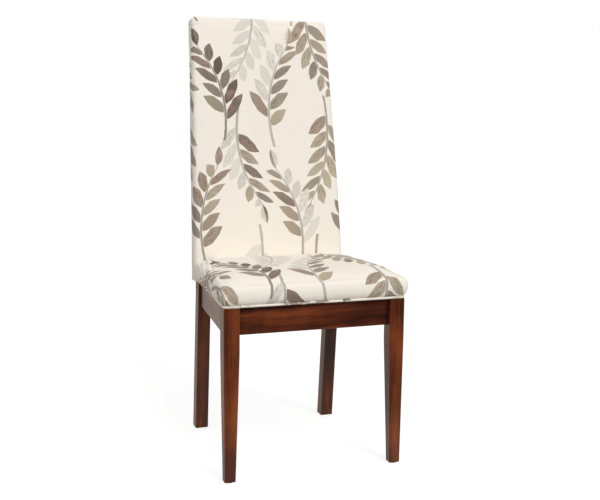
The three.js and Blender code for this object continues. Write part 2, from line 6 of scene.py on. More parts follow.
import bpy
import numpy as np
from bpy.props import FloatProperty, FloatVectorProperty, PointerProperty
from mathutils import Matrix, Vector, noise


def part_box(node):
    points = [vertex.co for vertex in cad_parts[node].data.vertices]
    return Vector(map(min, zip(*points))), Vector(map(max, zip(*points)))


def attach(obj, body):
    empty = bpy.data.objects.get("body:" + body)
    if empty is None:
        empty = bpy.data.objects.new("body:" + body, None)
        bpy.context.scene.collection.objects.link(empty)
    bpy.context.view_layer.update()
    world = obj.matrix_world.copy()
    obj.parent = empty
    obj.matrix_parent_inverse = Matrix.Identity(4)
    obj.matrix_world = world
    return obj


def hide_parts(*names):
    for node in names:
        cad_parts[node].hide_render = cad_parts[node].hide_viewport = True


bl_info = {
    "name": "Padded dining chair",
    "version": (1, 0, 0),
    "blender": (4, 5, 0),
    "location": "View3D > Sidebar > Chair",
    "description": "Dresses the frame of a padded dining chair in stained wood and leafy cloth",
    "category": "Add Mesh",
}

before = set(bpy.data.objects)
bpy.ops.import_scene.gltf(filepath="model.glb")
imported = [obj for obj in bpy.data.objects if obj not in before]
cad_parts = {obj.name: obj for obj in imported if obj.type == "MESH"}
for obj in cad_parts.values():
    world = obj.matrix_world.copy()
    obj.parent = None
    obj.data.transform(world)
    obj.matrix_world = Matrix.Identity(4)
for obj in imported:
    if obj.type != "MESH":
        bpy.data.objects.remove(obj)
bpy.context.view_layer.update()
SEAT_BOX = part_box("seat_cover")
LEG_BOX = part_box("front_left_leg")
FRONT_FACE = LEG_BOX[0].y  # front face of the front legs
SEAT_LINE = LEG_BOX[1].z  # top of the front legs and of the rails
REAR_SETBACK = 0.3595  # from the front legs' front face to the rear legs', at the seat line
FIT = 0.0003  # gap between pieces that meet
SEAT_BULGE = 0.013  # how far the seat's sides swell past its board
COVER_CLOTH = 0.0012  # thickness of the leafy cloth


def paint(code):
    """The linear colour of a colour written as #rrggbb."""
    shares = [int(code[i:i + 2], 16) / 255 for i in (1, 3, 5)]
    return tuple(c / 12.92 if c <= 0.04045 else ((c + 0.055) / 1.055) ** 2.4 for c in shares)


def length(name, value, description):
    return FloatProperty(name=name, description=description, default=value, min=0, unit="LENGTH")


def colour(name, code, description):
    return FloatVectorProperty(name=name, description=description, default=paint(code), size=3,
                               min=0, max=1, subtype="COLOR")


class SeatSizes(bpy.types.PropertyGroup):
    """Sizes of the padded seat"""
    bulge: length("Bulge", SEAT_BULGE, "How far the sides swell past the board")
    front_half: length("Front half width", SEAT_BOX[1].x - SEAT_BULGE,
                       "Half the width at the front, at the board")
    rear_half: length("Rear half width", 0.2, "Half the width at the back, at the board")
    setback: length("Front setback", 0.004, "From the front legs' front face to the board's edge")
    height: length("Height", 0.06, "Height of the padding inwards of its edges")
    rim: length("Rim height", 0.05, "Height at which the sides turn over into the top")
    puff: length("Puff", 0.009, "Extra height half way back")
    side_reach: length("Side crown", 0.045, "How far in from the sides the top still rises")
    front_reach: length("Front crown", 0.075, "How far in from the front the top still rises")
    corner: length("Corner", 0.003, "Radius at the corners of the padding's top")
    lip: length("Lip", 0.022, "How far the cloth turns in under the board")
    cloth: length("Cloth", COVER_CLOTH, "Thickness of the cloth")
    welt: length("Welt radius", 0.0031, "Radius of the welt along the lower edge")


class BackSizes(bpy.types.PropertyGroup):
    """Sizes of the padded back"""
    rise: length("Length", 0.71, "Along the face, from the seat line to the top")
    radius: length("Curve", 6.8, "Radius of the curve from seat to top")
    rake: FloatProperty(name="Rake", description="Lean of the back at the seat line",
                        default=radians(6.2), unit="ROTATION")
    proud: length("Proud", 0.0015, "How far the face stands in front of the rear legs")
    thickness: length("Thickness", 0.046, "From the face to the outer back")
    half: length("Half width", 0.2125, "Half the width at the seat line")
    lean: length("Lean", 0.021, "How far each side leans inwards up to the posts' top")
    post_top: length("Post top", 0.698, "Length of the posts above the seat line")
    edge: length("Front edge", 0.0115, "Radius of the front and top edges")
    rear_edge: length("Rear edge", 0.008, "Radius of the rear edges")
    crown: length("Crown", 0.003, "How far the face is domed")
    margin: length("Panel margin", 0.009, "From the sides to the outer panel")
    cloth: length("Cloth", COVER_CLOTH, "Thickness of the cloth")


class ClothColours(bpy.types.PropertyGroup):
    """Yarn colours of the leafy cloth"""
    ground: colour("Ground", "#f7efe3", "Cream ground")
    dark: colour("Dark leaf", "#6a5f53", "Darkest leaves")
    brown: colour("Brown leaf", "#978979", "Grey brown leaves")
    taupe: colour("Taupe leaf", "#b3a38f", "Taupe leaves")
    khaki: colour("Khaki leaf", "#c4b69d", "Lightest of the brown leaves")
    pale: colour("Pale leaf", "#d7d1c7", "Pale leaves")
    ghost: colour("Ghost leaf", "#e8e1d6", "Leaves hardly darker than the ground")
    russet: colour("Russet heart", "#ad8778", "Reddish yarn in some leaves")
    stem: colour("Stem", "#91877b", "Stems of the sprays")


class WoodColours(bpy.types.PropertyGroup):
    """Colours of the stained wood"""
    deep: colour("Deep", "#240c04", "Darkest grain")
    body: colour("Body", "#501f0a", "Most of the stain")
    light: colour("Light", "#8a4317", "Lightest streaks")


# Shapes shared by the cloth and what lies under it


def smoothstep(value, start, end):
    share = np.clip((value - start) / (end - start), 0, 1)
    return share * share * (3 - 2 * share)


def back_point(x, depth, up):
    """A point of the back, by its place across, behind the face, and up along the face."""
    sizes = bpy.context.scene.chair_back
    angle = sizes.rake + up / sizes.radius
    reach = sizes.radius - depth
    centre_y = FRONT_FACE + REAR_SETBACK - sizes.proud + sizes.radius * cos(sizes.rake)
    centre_z = SEAT_LINE - sizes.radius * sin(sizes.rake)
    return np.stack(np.broadcast_arrays(x, centre_y - reach * np.cos(angle),
                                        centre_z + reach * np.sin(angle)), axis=-1)


def back_up(z, depth):
    """How far up the face a point of this height is, at this depth."""
    sizes = bpy.context.scene.chair_back
    centre_z = SEAT_LINE - sizes.radius * sin(sizes.rake)
    return sizes.radius * (np.arcsin((z - centre_z) / (sizes.radius - depth)) - sizes.rake)


def back_half(up):
    """Half the back's width, this far up its face."""
    sizes = bpy.context.scene.chair_back
    return sizes.half - sizes.lean * up / sizes.post_top


def share_back(y):
    """How far back a place lies, from 0 at the front legs' face to 1 at the rear legs'."""
    return np.clip((y - FRONT_FACE) / REAR_SETBACK, 0, 1)


def seat_lift(y):
    """How much the puff adds to the seat's height here."""
    share = share_back(y)
    return bpy.context.scene.chair_seat.puff * 4 * share * (1 - share)


def crown_rise(distance, reach):
    """Goes from 0 at an edge to 1 this far in from it, as a crown rises."""
    return 1 - (1 - np.clip(distance / reach, 0, 1)) ** 2


def seat_half(y):
    """Half the seat's width here, at the board."""
    sizes = bpy.context.scene.chair_seat
    return sizes.front_half + (sizes.rear_half - sizes.front_half) * share_back(y)


def seat_top(x, y):
    """Height of the seat's top above its lower edge."""
    sizes = bpy.context.scene.chair_seat
    from_side = crown_rise(seat_half(y) - np.abs(x), sizes.side_reach)
    from_front = crown_rise(y - FRONT_FACE - sizes.setback, sizes.front_reach)
    return sizes.rim + seat_lift(y) + (sizes.height - sizes.rim) * from_side * from_front


def curve_through(points, steps=12):
    """A smooth line through these points, as a dense list of points."""
    points = np.array(points, float)
    ends = [2 * points[0] - points[1], *points, 2 * points[-1] - points[-2]]
    made = []
    for a, b, c, d in zip(ends, ends[1:], ends[2:], ends[3:]):
        for t in np.arange(steps) / steps:
            made.append(0.5 * (2 * b + (c - a) * t + (2 * a - 5 * b + 4 * c - d) * t ** 2
                               + (3 * b - a - 3 * c + d) * t ** 3))
    return np.array([*made, points[-1]])


def along(line, distance):
    """The points of a dense line at these distances from its start."""
    runs = np.concatenate([[0], np.cumsum(np.linalg.norm(np.diff(line, axis=0), axis=1))])
    return np.stack([np.interp(distance, runs, line[:, k]) for k in range(line.shape[1])], axis=-1)


def line_length(line):
    return np.linalg.norm(np.diff(line, axis=0), axis=1).sum()


# Pieces: choosing one, reading its points and changing them


def deselect():
    if bpy.context.object and bpy.context.object.mode != "OBJECT":
        bpy.ops.object.mode_set(mode="OBJECT")
    bpy.ops.object.select_all(action="DESELECT")


def only(piece):
    """Makes a piece the one that is selected and active."""
    deselect()
    piece.select_set(True)
    bpy.context.view_layer.objects.active = piece


def rename(piece, name):
    piece.name = name
    piece.data.name = name
    return piece


def add_object(name, data):
    made = bpy.data.objects.new(name, data)
    bpy.context.scene.collection.objects.link(made)
    return made


def vectors_of(items, name):
    """One vector of each item, such as its place, as rows of numbers."""
    rows = np.zeros(len(items) * 3, np.float32)
    items.foreach_get(name, rows)
    return rows.reshape(-1, 3).astype(float)


def points_of(piece):
    return vectors_of(piece.data.vertices, "co")


def normals_of(piece):
    return vectors_of(piece.data.vertices, "normal")


def lay_of(piece):
    """Where each point of a piece lay in the flat cloth."""
    return vectors_of(piece.data.attributes["lay"].data, "vector")[:, :2].copy()


def move_points(piece, places):
    piece.data.vertices.foreach_set("co", np.ascontiguousarray(places, dtype=float).ravel())
    piece.data.update()


def push(piece, amount):
    """Moves each point outwards by its own amount."""
    move_points(piece, points_of(piece) + normals_of(piece) * amount[:, None])


def edit_all(piece, operator, **settings):
    """Runs an operator of edit mode on the whole of a piece."""
    only(piece)
    bpy.ops.object.mode_set(mode="EDIT")
    bpy.ops.mesh.select_all(action="SELECT")
    operator(**settings)
    bpy.ops.object.mode_set(mode="OBJECT")


def merge(piece, distance):
    """Joins the points of a piece that lie this close together."""
    edit_all(piece, bpy.ops.mesh.remove_doubles, threshold=distance)


def smooth(piece):
    only(piece)
    bpy.ops.object.shade_smooth()


def apply(piece, kind, **settings):
    """Adds a modifier with these settings and applies it."""
    only(piece)
    modifier = piece.modifiers.new(kind.lower(), kind)
    for name, value in settings.items():
        setattr(modifier, name, value)
    bpy.ops.object.modifier_apply(modifier=modifier.name)


def dress(piece, material):
    piece.data.materials.clear()
    piece.data.materials.append(material)


def stand_in(piece, material, node):
    """Gives a piece its material, hangs it under the chair's root body, and hides the CAD node it stands for."""
    dress(piece, material)
    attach(piece, "root")
    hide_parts(node)


# Cloth: a flat cut whose points are moved onto the form under it

SETTLE_FRAMES = 16


def cut_cloth(name, places, flat, held=None):
    """A sheet of cloth as a grid: places and flat hold, for each row and column, where a point lies
    on the chair and where it lay in the flat cloth, in metres. Held points keep still as it settles."""
    rows, columns = places.shape[0] - 1, places.shape[1] - 1
    deselect()
    bpy.ops.mesh.primitive_grid_add(x_subdivisions=columns, y_subdivisions=rows, size=1)
    sheet = rename(bpy.context.object, name)
    start = points_of(sheet)
    column = np.rint((start[:, 0] + 0.5) * columns).astype(int)
    row = np.rint((start[:, 1] + 0.5) * rows).astype(int)
    move_points(sheet, places[row, column])
    cut = flat[row, column]
    corner = np.zeros(len(sheet.data.loops), int)
    sheet.data.loops.foreach_get("vertex_index", corner)
    sheet.data.uv_layers[0].name = "cloth"
    sheet.data.uv_layers["cloth"].data.foreach_set("uv", cut[corner].astype(np.float32).ravel())
    lay = sheet.data.attributes.new("lay", "FLOAT_VECTOR", "POINT")
    lay.data.foreach_set("vector", np.pad(cut, ((0, 0), (0, 1))).astype(np.float32).ravel())
    if held is not None:
        group = sheet.vertex_groups.new(name="held")
        group.add([int(k) for k in np.flatnonzero(held[row, column])], 1.0, "REPLACE")
    return sheet


def settle(piece, cap, pressure):
    """Lets the cloth swell over its padding. It is held where it is tacked or tucked, the padding keeps it
    from sinking in, and no point moves further than the cap."""
    start, normals = points_of(piece), normals_of(piece)
    only(piece)
    modifier = piece.modifiers.new("cloth", "CLOTH")
    cloth = modifier.settings
    cloth.quality = 4
    cloth.mass = 0.3
    cloth.tension_stiffness = cloth.compression_stiffness = 18
    cloth.shear_stiffness = 8
    cloth.bending_stiffness = 0.6
    cloth.vertex_group_mass = "held"
    cloth.use_pressure = True
    cloth.uniform_pressure_force = pressure
    cloth.effector_weights.gravity = 0
    for number in range(1, SETTLE_FRAMES + 1):
        bpy.context.scene.frame_set(number)
    bpy.ops.object.modifier_apply(modifier=modifier.name)
    bpy.context.scene.frame_set(1)
    moved = points_of(piece) - start
    sunk = np.minimum((moved * normals).sum(axis=1), 0)
    moved -= normals * sunk[:, None]
    far = np.linalg.norm(moved, axis=1)
    move_points(piece, start + moved * np.minimum(1, cap / np.maximum(far, 1e-9))[:, None])


def ripples(lay, size, height, seed):
    """Soft unevenness over the flat cloth, the same on each run."""
    return np.array([height * noise.noise((u / size, v / size, seed)) for u, v in lay])


FOLD_WANDER = 0.0035  # how far a fold strays from its line
FOLD_FADING = 0.55  # by what share its height varies
FOLD_HOLLOW = 0.5  # depth of the hollow beside a fold, as a share of its height
FOLD_HOLLOW_ASIDE = 1.5  # how far beside the fold that lies, in widths of the fold
FOLD_FULL = 0.12  # share of its length after which a fold has its full height
FOLD_FADES = 0.7  # share of its length from which it fades


def folds(lay, lines):
    """Height of drawn folds over the flat cloth. A line is (start, end, bow, width, height)."""
    total = np.zeros(len(lay))
    wander = ripples(lay, size=0.045, height=FOLD_WANDER, seed=4.4)
    fading = 1 + ripples(lay, size=0.03, height=FOLD_FADING, seed=7.7)
    for start, end, bow, width, height in lines:
        start, run = np.array(start), np.array(end) - np.array(start)
        size = np.linalg.norm(run)
        share = ((lay - start) @ run) / size ** 2
        inside = np.clip(share, 0, 1)
        aside = (lay - start) @ np.array([-run[1], run[0]]) / size
        aside = aside - bow * 4 * inside * (1 - inside) - wander
        hollow = FOLD_HOLLOW * np.exp(-((aside - FOLD_HOLLOW_ASIDE * width) / width) ** 2)
        ridge = np.exp(-(aside / width) ** 2) - hollow
        total += height * ridge * smoothstep(share, 0, FOLD_FULL) * (1 - smoothstep(share, FOLD_FADES, 1))
    return total * fading


def side_folds(lay, past, along_side, left, right):
    """Folds beside a form, from how far past its side and how far along that side each point lies."""
    total = np.zeros(len(lay))
    side = np.stack([past, along_side], axis=-1)
    for sign, lines in ((-1, left), (1, right)):
        here = lay[:, 0] * sign > 0
        total[here] += folds(side[here], lines)
    return total


def square_loops(across, upward, loops, below):
    """Numbers for a sheet wrapped over a flat core: share across and up the core from -1 to 1,
    the loop outside it, and the direction in which the loop lies. Without below, no loops lie there."""
    i = np.arange(-across - loops, across + loops + 1)
    j = np.arange(-upward - (loops if below else 0), upward + loops + 1)
    i, j = np.meshgrid(i, j)
    past_side = np.maximum(np.abs(i) - across, 0)
    past_end = np.maximum(np.abs(j) - upward, 0)
    loop = np.maximum(past_side, past_end)
    least = np.minimum(past_side, past_end)
    turn = np.where(loop > 0, pi / 4 * least / np.maximum(loop, 1), 0)
    angle = np.where(past_end > past_side, pi / 2 - turn, turn)
    towards = np.stack([np.sign(i) * np.cos(angle), np.sign(j) * np.sin(angle)], axis=-1)
    towards[loop == 0] = 0
    core = np.stack([np.clip(i, -across, across) / across, np.clip(j, -upward, upward) / upward], axis=-1)
    return core, loop, towards


# The seat's side from its top down, as shares of the bulge and of the rim's height
SEAT_SIDE_SHARES = [
    (0.45, 1), (0.8, 0.88), (0.97, 0.72), (1, 0.53), (0.85, 0.32), (0.5, 0.17), (0, 0.11), (0, 0),
]
SIDE_START = 0.0012  # height above the rim at which the side's line begins
LIP_OUT = 0.0015  # how far outside the core the cloth lies where it turns in under the board
LIP_SHRINK = 0.002  # how far the core has shrunk once the cloth has turned in
SEAT_CELL = 0.006  # size of the cloth's cells
SEAT_LOOP_SHARE = 1.1  # loops of cells on the side, as a share of what its length asks for
SEAT_LIP_LOOPS = 4  # loops of cells under the board
TOP_BLEND = 0.012  # length down the side over which it leaves the shape of the top
TUCKED_SHARE = 0.7  # a loop that points this much to the rear is tucked in between seat and back


def seat_side_line():
    """The seat's side from the edge of its top down to the welt and in under the board:
    (how far outside the core, how far the core has shrunk, height)."""
    sizes = bpy.context.scene.chair_seat
    out = sizes.corner
    side = [(0, 0, sizes.rim + SIDE_START)]
    side += [(out + share * sizes.bulge, 0, rise * sizes.rim) for share, rise in SEAT_SIDE_SHARES]
    line = curve_through(side)
    lip = [(out, 0, 0), (LIP_OUT, LIP_SHRINK, 0), (LIP_OUT, sizes.lip, 0)]
    return line, np.array(lip, float)


def seat_cloth():
    """The seat's cloth: over the top, down the sides and in under the board."""
    sizes = bpy.context.scene.chair_seat
    line, lip = seat_side_line()
    side_loops = round(line_length(line) / SEAT_CELL * SEAT_LOOP_SHARE)
    loops = side_loops + SEAT_LIP_LOOPS
    across = round(sizes.front_half / SEAT_CELL)
    upward = round(REAR_SETBACK / 2 / SEAT_CELL)
    core, loop, towards = square_loops(across, upward, loops, below=True)
    run = np.minimum(loop, side_loops) / side_loops * line_length(line)
    under = np.maximum(loop - side_loops, 0) / SEAT_LIP_LOOPS * line_length(lip)
    on_side = along(line, run)
    on_lip = along(lip, under)
    out, shrink, height = np.moveaxis(np.where((loop > side_loops)[..., None], on_lip, on_side), -1, 0)
    low_y = FRONT_FACE + sizes.setback + sizes.corner + shrink
    z = SEAT_BOX[0].z + height
    face_y = back_point(0, 0, back_up(z, 0))[..., 1] - FIT
    high_y = face_y - sizes.corner - shrink
    y = low_y + (high_y - low_y) * (core[..., 1] + 1) / 2
    half = seat_half(y) - sizes.corner - shrink
    x = core[..., 0] * half
    rear_out = np.minimum(out, sizes.corner)
    step_y = np.where(towards[..., 1] > 0, rear_out, out) * towards[..., 1]
    rise = np.clip(height / sizes.rim, 0, 1)
    top = seat_top(x, y)
    fade = 1 - smoothstep(run, 0, TOP_BLEND)
    z = SEAT_BOX[0].z + height + rise ** 2 * seat_lift(y)
    edge = SEAT_BOX[0].z + line[0][2] + seat_lift(y)
    z = np.where(loop == 0, SEAT_BOX[0].z + top, z + (SEAT_BOX[0].z + top - edge) * fade)
    places = np.stack([x + towards[..., 0] * out, y + step_y, z], axis=-1)
    flat_x = core[..., 0] * (seat_half(y) - sizes.corner)
    flat = np.stack([flat_x, y], axis=-1) + towards * (run + under)[..., None]
    held = (loop >= side_loops) | ((loop > 0) & (towards[..., 1] > TUCKED_SHARE))
    return cut_cloth("seat_cover_cloth", places, flat, held)


FACE_PADDING = 0.018  # depth of the foam in front of the back's posts
BACK_CELL = 0.0062  # size of the cloth's cells
BACK_LOOP_SHARE = 1.15  # loops of cells round the edges, as a share of what their length asks for
BACK_TACKED_LOOPS = 2  # outermost loops of cells, which are held behind the back
DOME_STARTS, DOME_FULL = 0.06, 0.22  # how far up the face it begins to be domed, and is so in full
DOME_ENDS = 0.07  # how far below the top that begins to fade
TURNED_ROWS = (0.001, 0.0045, 0.008)  # how far under the padding the cloth's turned rows lie
TURNED_STEP = 0.0035  # and how far apart in the flat cloth


def back_cloth():
    """The back's cloth: over the face and round the side and top edges."""
    sizes = bpy.context.scene.chair_back
    edge, rear = sizes.edge, sizes.rear_edge
    quarter = np.linspace(0, pi / 2, 9)
    front_arc = [(edge * sin(a), edge * (1 - cos(a))) for a in quarter]
    rear_arc = [(edge - rear * (1 - cos(a)), sizes.thickness - rear * (1 - sin(a))) for a in quarter]
    line = np.array([*front_arc, *rear_arc, (edge - sizes.margin, sizes.thickness)])
    loops = round(line_length(line) / BACK_CELL * BACK_LOOP_SHARE)
    across = round(sizes.half / BACK_CELL)
    upward = round(sizes.rise / 2 / BACK_CELL)
    core, loop, towards = square_loops(across, upward, loops, below=False)
    run = loop / loops * line_length(line)
    out, depth = np.moveaxis(along(line, run), -1, 0)
    low = back_up(SEAT_BOX[0].z, depth)
    high = sizes.rise - edge
    up = low + (high - low) * (core[..., 1] + 1) / 2
    x = core[..., 0] * (back_half(up) - edge)
    flat = np.stack([x, up], axis=-1) + towards * run[..., None]
    dome = np.clip(1 - (x / back_half(up)) ** 2, 0, 1) * smoothstep(up, DOME_STARTS, DOME_FULL)
    dome = sizes.crown * dome * (1 - smoothstep(up, sizes.rise - DOME_ENDS, sizes.rise))
    depth = depth - dome * np.clip(1 - depth / FACE_PADDING, 0, 1)
    places = back_point(x + towards[..., 0] * out, depth, up + towards[..., 1] * out)
    held = (loop >= loops - BACK_TACKED_LOOPS) | (core[..., 1] <= -1)
    return cut_cloth("back_cover_cloth", *turned_under(places, flat, held))


def turned_under(places, flat, held):
    """Adds rows below the lowest one, which turn the cloth in under the padding."""
    lowest = places[0]
    run = np.gradient(lowest[:, :2], axis=0)
    run /= np.linalg.norm(run, axis=1)[:, None]
    inwards = np.stack([-run[:, 1], run[:, 0]], axis=-1)
    for reach in TURNED_ROWS:
        row = lowest.copy()
        row[:, :2] += inwards * reach
        places = np.concatenate([row[None], places])
        flat = np.concatenate([flat[:1] - (0, TURNED_STEP), flat])
        held = np.concatenate([np.full((1, len(row)), True), held])
    return places, flat, held


# Pleats at the back's top corners: start and end as (past the face's side, below its top), bow, width, height
LEFT_PLEATS = [
    ((-0.006, 0.004), (0.03, 0.011), 0.001, 0.0034, 0.0018),
    ((-0.002, 0.016), (0.034, 0.026), 0.002, 0.004, 0.0011),
    ((-0.02, -0.006), (0.002, -0.03), 0.001, 0.0034, 0.0009),
]
RIGHT_PLEATS = [
    ((-0.004, 0.006), (0.032, 0.012), 0.001, 0.0034, 0.0013),
    ((-0.018, -0.004), (0.004, -0.03), 0.001, 0.0036, 0.001),
]
PULL_HEIGHT = 0.0008  # of the pulls in the cloth round the back's edges
PULLS_START, PULLS_FULL = -0.004, 0.01  # past the face's side, where they begin and are full
PULLS_FADE, PULLS_END = 0.03, 0.045  # and where they fade and end


def back_creases(lay):
    """How far the back's cloth stands out or in: pleats at the top corners, pulls at its edges and soft
    unevenness."""
    sizes = bpy.context.scene.chair_back
    past = np.abs(lay[:, 0]) - (back_half(lay[:, 1]) - sizes.edge)
    below = sizes.rise - sizes.edge - lay[:, 1]
    total = ripples(lay, size=0.11, height=0.0011, seed=5.7)
    total += ripples(lay, size=0.022, height=0.00025, seed=1.4)
    total += side_folds(lay, past, below, LEFT_PLEATS, RIGHT_PLEATS)
    edge = smoothstep(past, PULLS_START, PULLS_FULL) * (1 - smoothstep(past, PULLS_FADE, PULLS_END))
    pulls = np.array([noise.noise((v / 0.024, s / 0.03, 2.2 + np.sign(u))) for (u, v), s in zip(lay, past)])
    return total + PULL_HEIGHT * edge * pulls


PANEL_TURN = 0.002  # radius at which the outer panel's edges turn in
PANEL_EDGE = 1.8  # how far forward they reach, in such radii
PANEL_LOOPS = 4  # loops of cells round that edge
PANEL_CELLS = (34, 60)  # cells from the middle to the side, and to the top
PANEL_CUT = (0.19, 0.27)  # how far across and up the print the panel's cut is shifted
PANEL_PUFF = 0.0012  # how far its middle stands out
PANEL_PUFF_END = 0.3  # share of its half length, at the top, over which that fades


def outer_panel_cloth():
    """The panel over the back's rear, its edges turned in."""
    sizes = bpy.context.scene.chair_back
    quarter = np.linspace(0, pi / 2, 4)
    line = [(PANEL_TURN * sin(a), sizes.thickness - PANEL_TURN * (1 - cos(a))) for a in quarter]
    line = np.array([*line, (PANEL_TURN, sizes.thickness - PANEL_EDGE * PANEL_TURN)])
    core, loop, towards = square_loops(*PANEL_CELLS, PANEL_LOOPS, below=False)
    run = loop / PANEL_LOOPS * line_length(line)
    out, depth = np.moveaxis(along(line, run), -1, 0)
    low = back_up(SEAT_BOX[0].z, depth)
    high = sizes.rise - sizes.margin - FIT - PANEL_TURN
    up = low + (high - low) * (core[..., 1] + 1) / 2
    x = -core[..., 0] * (back_half(up) - sizes.margin - FIT - PANEL_TURN)
    towards = towards * (-1, 1)
    flat_places = np.stack([-x + PANEL_CUT[0], up + PANEL_CUT[1]], axis=-1)
    flat = flat_places + towards * (-1, 1) * run[..., None]
    puffed = PANEL_PUFF * (1 - core[..., 0] ** 2) * smoothstep(1 - core[..., 1], 0, PANEL_PUFF_END)
    depth = depth + np.where(loop == 0, puffed, 0)
    places = back_point(x + towards[..., 0] * out, depth, up + towards[..., 1] * out)
    held = (loop > 0) | (core[..., 1] <= -1)
    return cut_cloth("back_outer_cloth", *turned_under(places, flat, held))


def outer_creases(lay):
    """How far the outer panel's cloth stands out or in: soft unevenness only."""
    return ripples(lay, size=0.12, height=0.0006, seed=9.2)


SEAT_FRONT_CORNER = 0.006  # radius of the seat's front corners, at the board
WELT_END_GAP = 0.004  # from the welt's ends to the back
WELT_STEP = 0.0025  # between its rings of points
WELT_PUCKER = 0.07  # how deep the welt's puckers are, as a share of its radius
WELT_REAR_PUCKER = 0.3  # and how much deeper they are at the rear of the seat
REAR_PUCKERS_START, REAR_PUCKERS_FULL = 0.08, 0.22  # behind the board's front, where that begins and is full


def welt_cord():
    """The welt along the sides and front of the seat's lower edge, as a closed cord."""
    sizes = bpy.context.scene.chair_seat
    radius = sizes.welt
    grow = radius + FIT
    front = FRONT_FACE + sizes.setback
    rear = back_point(0, 0, 0)[1] - FIT - WELT_END_GAP
    turn = SEAT_FRONT_CORNER + grow
    quarter = np.linspace(0, pi / 2, 8)
    side = [(seat_half(y) + grow, y) for y in np.linspace(rear, front + SEAT_FRONT_CORNER, 40)]
    corner = [(seat_half(front) + grow - turn * (1 - cos(a)), front + SEAT_FRONT_CORNER - turn * sin(a))
              for a in quarter[1:]]
    right = np.array([*side, *corner])
    path = np.concatenate([right * (-1, 1), right[::-1]])
    count = round(line_length(path) / WELT_STEP)
    path = along(path, np.linspace(0, line_length(path), count))
    run = np.gradient(path, axis=0)
    run /= np.linalg.norm(run, axis=1)[:, None]
    normal = np.stack([run[:, 1], -run[:, 0]], axis=-1)
    around = np.linspace(0, 2 * pi, 15)
    length_so_far = np.linspace(0, line_length(path), count)
    pucker = np.array([noise.noise((s / 0.009, 0, 2.5)) + 0.7 * noise.noise((s / 0.03, 4, 2.5))
                       for s in length_so_far])
    rearward = smoothstep(path[:, 1] - front, REAR_PUCKERS_START, REAR_PUCKERS_FULL)
    crumpled = WELT_PUCKER + WELT_REAR_PUCKER * rearward
    swell = radius * (1 - crumpled * np.abs(pucker))
    places = np.empty((len(around), count, 3))
    flat = np.empty((len(around), count, 2))
    for k, angle in enumerate(around):
        places[k, :, :2] = path + normal * (swell * cos(angle))[:, None]
        places[k, :, 2] = SEAT_BOX[0].z + radius + swell * sin(angle)
        flat[k] = np.stack([length_so_far, np.full(count, radius * angle)], axis=-1)
    cord = cut_cloth("seat_welt_cord", places, flat)
    merge(cord, distance=0.00001)
    edit_all(cord, bpy.ops.mesh.fill_holes, sides=0)
    edit_all(cord, bpy.ops.mesh.normals_make_consistent, inside=False)
    return cord


STRAP_WIDTH = 0.05
STRAP_THICKNESS = 0.0013
STRAP_INSET = 0.006  # from the side padding to a strap's end
STRAP_STARTS = (0.11, 0.22, 0.33, 0.44, 0.55)  # how far up the face their lower edges are
SIDE_PADDING_LESS = 0.001  # how much thinner the side padding is than the radius of the front edge


def strap(name, start):
    """One webbing strap, stretched across the posts."""
    sizes = bpy.context.scene.chair_back
    depth = FACE_PADDING - FIT - STRAP_THICKNESS
    up = np.linspace(start, start + STRAP_WIDTH, 9)[:, None]
    share = np.linspace(-1, 1, 81)[None, :]
    half = back_half(up) - sizes.edge + SIDE_PADDING_LESS - STRAP_INSET
    x = share * half
    places = back_point(x, depth, up + 0 * share)
    flat = np.stack(np.broadcast_arrays(x, up), axis=-1)
    return cut_cloth(name, places, flat)


BOARD_RISE = 0.0015  # from the seat's lower edge up to the board's underside
DUST_THICKNESS = 0.0008
DUST_SAG = 0.0016  # how far the dust cloth hangs down in the middle
DUST_CREASE = 0.3  # by what share of that it is uneven
DUST_ROWS, DUST_COLUMNS = 56, 71


def dust_sheet():
    """The thin cloth stretched below the seat board."""
    sizes = bpy.context.scene.chair_seat
    inset = sizes.lip + FIT
    front = FRONT_FACE + sizes.setback + inset
    rear = back_point(0, 0, 0)[1] - FIT - inset
    y = np.linspace(front, rear, DUST_ROWS)[:, None]
    share_along = np.linspace(-1, 1, DUST_ROWS)[:, None]
    share = np.linspace(-1, 1, DUST_COLUMNS)[None, :]
    x = share * (seat_half(y) - inset)
    sag = DUST_SAG * (1 - share ** 4) * (1 - share_along ** 4)
    crease = np.array([[noise.noise((a / 0.05, b / 0.02, 0.7)) for a in row] for row, b in zip(x, y[:, 0])])
    z = SEAT_BOX[0].z + BOARD_RISE - FIT - sag * (1 + DUST_CREASE * crease)
    places = np.stack(np.broadcast_arrays(x, y, z), axis=-1)
    flat = np.stack(np.broadcast_arrays(x, y), axis=-1)
    return cut_cloth("seat_dust_cloth", places, flat)


def upholster(cloth, cap, pressure, creases, thickness, node):
    """Lets a cut of cloth settle on its padding, then gives it its creases, thickness and finish."""
    settle(cloth, cap, pressure)
    apply(cloth, "SUBSURF", levels=1, render_levels=1)
    push(cloth, creases(lay_of(cloth)))
    apply(cloth, "SOLIDIFY", thickness=thickness, offset=-1)
    smooth(cloth)
    stand_in(cloth, bpy.data.materials["leafy_cloth"], node)


# Materials


